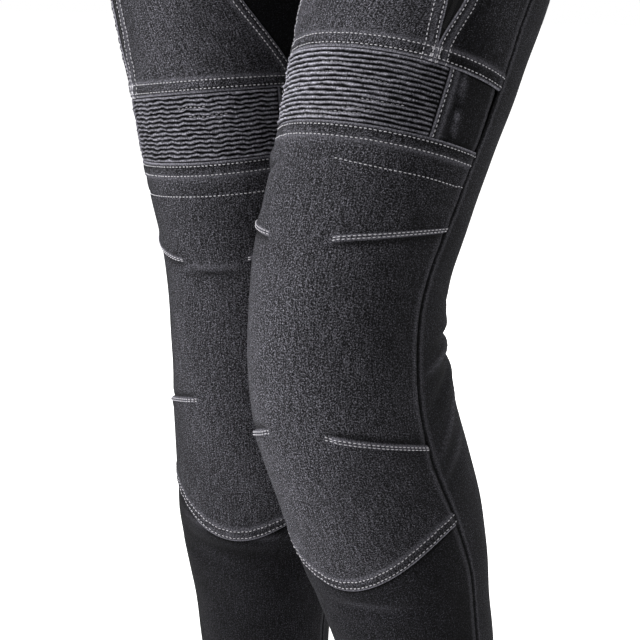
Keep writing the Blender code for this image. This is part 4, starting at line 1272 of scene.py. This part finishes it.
def path_tree(name, shape, pitch, material):
    """Sets a shape at even steps along paths, upright on the cloth: its Y along the path and its Z out."""
    tree = bpy.data.node_groups.new(name, "GeometryNodeTree")
    tree.interface.new_socket("Geometry", in_out="INPUT", socket_type="NodeSocketGeometry")
    step = tree.interface.new_socket("Pitch", in_out="INPUT", socket_type="NodeSocketFloat")
    step.default_value = pitch
    tree.interface.new_socket("Geometry", in_out="OUTPUT", socket_type="NodeSocketGeometry")
    given = node(tree, "NodeGroupInput").outputs
    path = node(tree, "GeometryNodeMeshToCurve", {"Mesh": given["Geometry"]}).outputs["Curve"]
    lengths = {"Curve": path, "Length": given["Pitch"]}
    even = node(tree, "GeometryNodeResampleCurve", lengths, mode="LENGTH").outputs["Curve"]
    out = node(tree, "GeometryNodeInputNamedAttribute", {"Name": "out"}, data_type="FLOAT_VECTOR")
    tangent = node(tree, "GeometryNodeInputTangent").outputs["Tangent"]
    up = {"Vector": out.outputs["Attribute"]}
    upright = node(tree, "FunctionNodeAlignRotationToVector", up, axis="Z").outputs["Rotation"]
    ahead = {"Rotation": upright, "Vector": tangent}
    facing = node(tree, "FunctionNodeAlignRotationToVector", ahead, axis="Y", pivot_axis="Z")
    piece = node(tree, "GeometryNodeObjectInfo", {"Object": shape}, transform_space="ORIGINAL")
    setting = {"Points": even, "Instance": piece.outputs["Geometry"], "Rotation": facing.outputs["Rotation"]}
    set_on = node(tree, "GeometryNodeInstanceOnPoints", setting).outputs["Instances"]
    real = node(tree, "GeometryNodeRealizeInstances", {"Geometry": set_on}).outputs["Geometry"]
    finish = node(tree, "GeometryNodeSetMaterial", {"Geometry": real, "Material": material})
    node(tree, "NodeGroupOutput", {"Geometry": finish.outputs["Geometry"]})
    return tree


def paths_object(name, paths):
    """Lines on the cloth as a mesh of edges, with the direction out of the cloth kept at each point."""
    points, outs, edges = [], [], []
    for line, normals in paths:
        start = len(points)
        points += line.tolist()
        outs += normals.tolist()
        edges += [(start + k, start + k + 1) for k in range(len(line) - 1)]
    mesh = bpy.data.meshes.new(name)
    mesh.from_pydata(points, edges, [])
    layer = mesh.attributes.new("out", "FLOAT_VECTOR", "POINT")
    layer.data.foreach_set("vector", np.array(outs, np.float32).ravel())
    return shown(name, mesh)


def plain_mesh(obj, tree, name):
    """Turns a Geometry Nodes object into a plain mesh object, and removes what it was made from."""
    modifier = obj.modifiers.new("made by rule", "NODES")
    modifier.node_group = tree
    graph = bpy.context.evaluated_depsgraph_get()
    shaped = obj.evaluated_get(graph)
    made = bpy.data.meshes.new_from_object(shaped, preserve_all_data_layers=True, depsgraph=graph)
    made.name = name
    result = shown(name, made)
    bpy.data.objects.remove(obj, do_unlink=True)
    return result


def evenly(points, step):
    """The same path with points at even steps."""
    run = np.concatenate([[0], np.cumsum(np.linalg.norm(np.diff(points, axis=0), axis=1))])
    at = np.linspace(0, run[-1], max(2, int(run[-1] / step)) + 1)
    return np.stack([np.interp(at, run, points[:, axis]) for axis in range(3)], axis=1)


def laid(tree, points):
    """A path pressed onto a panel's outer face, with the face's direction at each point."""
    line, normals = [], []
    for point in evenly(points, STITCH_PITCH / 2):
        nearest, normal, _, _ = tree.find_nearest(Vector(point))
        line.append(nearest)
        normals.append(normal)
    return np.array(line), unit(np.array(normals))


def outward(leg, line, normals):
    """Normals turned to point out of the leg."""
    inside = leg.at(leg.centres, np.interp(-line[:, 2], -leg.centres[:, 2], leg.stations))
    facing = np.sign(((line - inside) * normals).sum(axis=1, keepdims=True))
    return normals * np.where(facing == 0, 1, facing)


def raised(leg, lines):
    """Lines set just above the cloth, with the direction out of the leg at each point."""
    outs = [(line, outward(leg, line, normals)) for line, normals in lines]
    return [(line + out * STITCH_LIFT, out) for line, out in outs]


# The row along each knee patch's channel, as its places down and round the leg.
CHANNEL_THREADS = {
    "left": ((0.4590, 15), (0.4595, 40), (0.4570, 64), (0.4542, 88)),
    "right": ((0.4545, -88), (0.4570, -60), (0.4595, -20), (0.4590, 20), (0.4570, 55), (0.4545, 88)),
}
# Rows of the tacks at the foot of each zip, by their turn from its line.
ZIP_TACKS = {"thigh_panel": (-2.2, -1.7, -1.2), "side_panel": (0.7, 1.2, 1.7)}
DART_THREADS = tuple(
    (dart + row, side) for dart in (UPPER_DART, LOWER_DART) for row in (-0.0008, 0.0008) for side in (1, -1)
)


def dart_line(leg, dart, side):
    """The stitches of a dart, from the seam to its tip."""
    share = 0.5 + side * np.linspace(0.135, 0.488, 40)
    down, turn = bowed_place(KNEE_KEYS, np.full_like(share, dart), share)
    return cloth_point(leg, down, turn, WELT_RISE + 0.0003)


# Short runs of thread that show in the grooves between the ribs: the groove, and its shares of the
# width. The right leg has only the first two.
GROOVE_RUNS = (
    (3, 0.42, 0.56), (5, 0.30, 0.50), (6, 0.62, 0.74), (8, 0.22, 0.44), (10, 0.66, 0.84),
    (12, 0.20, 0.40), (12, 0.58, 0.72), (13, 0.30, 0.66), (14, 0.14, 0.52),
)


def rib_groove_lines(leg):
    """Thread that shows in a few of the grooves between the ribs."""
    place = on_leg(leg, among_ribs)
    lines = []
    for groove, begin, end in GROOVE_RUNS if leg.name == "left" else GROOVE_RUNS[:2]:
        share = np.linspace(begin, end, 40)
        row = np.full_like(share, (groove + 0.12) / RIB_COUNT)
        lines.append(place(row, share, 0.0, 0.0, RIB_BASE + 0.0008))
    return lines


def leg_threads(leg):
    trees = {name: PIECES[f"{leg.name}_{name}"].tree() for name, *_ in PANELS}
    lines = []
    for name, edge, inset, start, end in EDGE_THREADS:
        points = PIECES[f"{leg.name}_{name}"].along_edge(edge, inset, start, end)
        lines.append(laid(trees[name], points))
    knots = np.array(CHANNEL_THREADS[leg.name])
    turn = np.linspace(knots[0, 1], knots[-1, 1], 60)
    down = through(knots[:, 1], knots[:, 0], turn)
    lines.append(laid(trees["knee_patch"], cloth_point(leg, down, turn, THREAD_START)))
    for dart, side in DART_THREADS:
        lines.append(laid(trees["knee_patch"], dart_line(leg, dart, side)))
    down = np.linspace(THIGH_BAND - 0.0088, THIGH_BAND - 0.0004, 12)
    for name, offsets in ZIP_TACKS.items():
        for offset in offsets:
            turn = seam_turn(ZIP_LINE, down) + offset
            lines.append(laid(trees[name], cloth_point(leg, down, turn, THREAD_START)))
    turn = RIB_TURNS[1] + 1.5
    share = np.linspace(0.03, 0.97, 20)
    down, turns = above_knee(turn, turn)(leg, share, np.zeros_like(share))
    lines.append(laid(trees["outer_gusset"], cloth_point(leg, down, turns, THREAD_START / 2)))
    return raised(leg, lines)


def groove_threads(leg):
    tree = PIECES[f"{leg.name}_rib_panel"].tree()
    return raised(leg, [laid(tree, points) for points in rib_groove_lines(leg)])


def waist_threads():
    band = PIECES["waistband"]
    tree = band.tree()
    lines = []
    for edge in ("top", "bottom"):
        line, normals = laid(tree, band.along_edge(edge, 0.0030))
        facing = np.sign((line * (1, 1, 0) * normals).sum(axis=1, keepdims=True))
        lines.append((line + normals * facing * STITCH_LIFT, normals * facing))
    return lines


THREAD_TREE = path_tree("Topstitching", stitch_shape(), STITCH_PITCH, FINISHES["thread"])


def sewn_on(name, lines, tree):
    made = plain_mesh(paths_object(f"{name}_paths", lines), tree, name)
    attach(made, "garment")


for leg in LEGS.values():
    sewn_on(f"{leg.name}_topstitching", leg_threads(leg), THREAD_TREE)
    sewn_on(f"{leg.name}_rib_stitching", groove_threads(leg), THREAD_TREE)
sewn_on("waist_topstitching", waist_threads(), THREAD_TREE)


def tooth_shape():
    """One turn of the zip's coil, as a low rounded bar across the zip."""
    bm = bmesh.new()
    bmesh.ops.create_cube(bm, size=1.0)
    bmesh.ops.scale(bm, vec=COIL_TURN, verts=bm.verts)
    bmesh.ops.bevel(bm, geom=bm.edges[:], offset=COIL_BEVEL, segments=1, affect="EDGES", profile=0.5)
    return shape_from(bm, "coil turn")


COIL_TREE = path_tree("Zip coil", tooth_shape(), COIL_PITCH, FINISHES["zip coil"])


def zip_pieces(leg):
    """The zip's tape and its closed coil."""
    rows = stations(ZIP_TOP - TAPE_UNDER_ENDS, ZIP_BOTTOM + TAPE_UNDER_ENDS, GRID, ())
    at = between(
        lambda down: zip_front_edge(down) - TAPE_UNDER_SIDES,
        lambda down: zip_back_edge(down) + TAPE_UNDER_SIDES,
    )

    def lift(down, share):
        return np.full_like(down, TAPE_BASE)

    def paint(down, share):
        return 0 * share, 0 * share, 0 * share

    name = f"{leg.name}_zip_tape"
    shares = np.linspace(0, 1, 9)
    tape = Panel(f"{name}_cloth", rows, shares, on_leg(leg, at), lift, TAPE_BASE - TAPE_WALL, {}, paint)
    sew(tape, name, "zip tape", "zip_tape")
    down = np.linspace(*COIL_ENDS, 150)
    turn = seam_turn(ZIP_LINE, down)
    line = cloth_point(leg, down, turn, TAPE_BASE + COIL_LIFT)
    normals = outward_normal(leg, down, turn)
    coil = plain_mesh(paths_object(f"{name}_paths", [(line, normals)]), COIL_TREE, f"{leg.name}_zip_coil")
    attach(coil, "garment")


for leg in LEGS.values():
    zip_pieces(leg)

for node_name in ("left_zip_slider", "left_zip_pull", "right_zip_slider", "right_zip_pull", "waist_button"):
    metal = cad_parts[node_name]
    for material_slot in metal.material_slots:
        material_slot.material = FINISHES["zip metal"]


# The floor's half size and level. Each light: its place, size and power. The camera's place, the
# point it looks at, its lens and its sensor.
FLOOR_HALF = 12.0
FLOOR_LEVEL = -1.075
WHITE = (1.0, 1.0, 1.0, 1.0)
WORLD_LIGHT = 0.26
LIGHTS = {
    "key": ((-1.9, -1.3, 0.35), 1.1, 56.0),
    "fill": ((0.9, -2.2, 0.3), 1.6, 4.0),
    "rim": ((1.6, 1.3, -0.1), 0.7, 12.0),
    "back": ((-0.6, 2.3, 0.4), 1.6, 22.0),
}
LIGHTS_AIM = (0, 0, -0.5)
CAMERA_PLACE = (0.49097, -1.15677, -0.25435)
CAMERA_AIM = (0.05346, -0.14323, -0.52469)
CAMERA_LENS = 91.44
CAMERA_SENSOR = 36.0


def aimed(name, data, place, aim):
    """A light or a camera at its place, turned to look at a point."""
    obj = shown(name, data)
    obj.location = place
    obj.rotation_mode = "QUATERNION"
    obj.rotation_quaternion = (Vector(aim) - obj.location).to_track_quat("-Z", "Y")
    return obj


def seen_by_camera(tree):
    return node(tree, "ShaderNodeLightPath").outputs["Is Camera Ray"]


def studio():
    """A pale floor, soft light from the left of the camera and the photograph's viewpoint."""
    floor_mesh = bpy.data.meshes.new("floor")
    corners = ((-1, -1), (1, -1), (1, 1), (-1, 1))
    places = [(x * FLOOR_HALF, y * FLOOR_HALF, FLOOR_LEVEL) for x, y in corners]
    floor_mesh.from_pydata(places, [], [(0, 1, 2, 3)])
    floor = shown("floor", floor_mesh)
    pale = grain_material("Pale floor", (0.92, 0.92, 0.92, 1.0), 0.9, 0.0, 3.0, 0.01, 0.0)
    glow = pale.node_tree.nodes["Principled BSDF"]
    glow.inputs["Emission Color"].default_value = WHITE
    pale.node_tree.links.new(seen_by_camera(pale.node_tree), glow.inputs["Emission Strength"])
    floor.data.materials.append(pale)
    world = bpy.data.worlds.new("studio")
    bpy.context.scene.world = world
    world.use_nodes = True
    background = world.node_tree.nodes["Background"]
    background.inputs["Color"].default_value = WHITE
    strength = spread_out(world.node_tree, seen_by_camera(world.node_tree), To_Min=WORLD_LIGHT)
    world.node_tree.links.new(strength, background.inputs["Strength"])
    bpy.context.scene.view_settings.view_transform = "Standard"
    for name, (place, size, power) in LIGHTS.items():
        lamp = bpy.data.lights.new(name, "AREA")
        lamp.size = size
        lamp.energy = power
        aimed(name, lamp, place, LIGHTS_AIM)
    camera = bpy.data.cameras.new("camera")
    camera.sensor_width = CAMERA_SENSOR
    camera.lens = CAMERA_LENS
    bpy.context.scene.camera = aimed("camera", camera, CAMERA_PLACE, CAMERA_AIM)


studio()
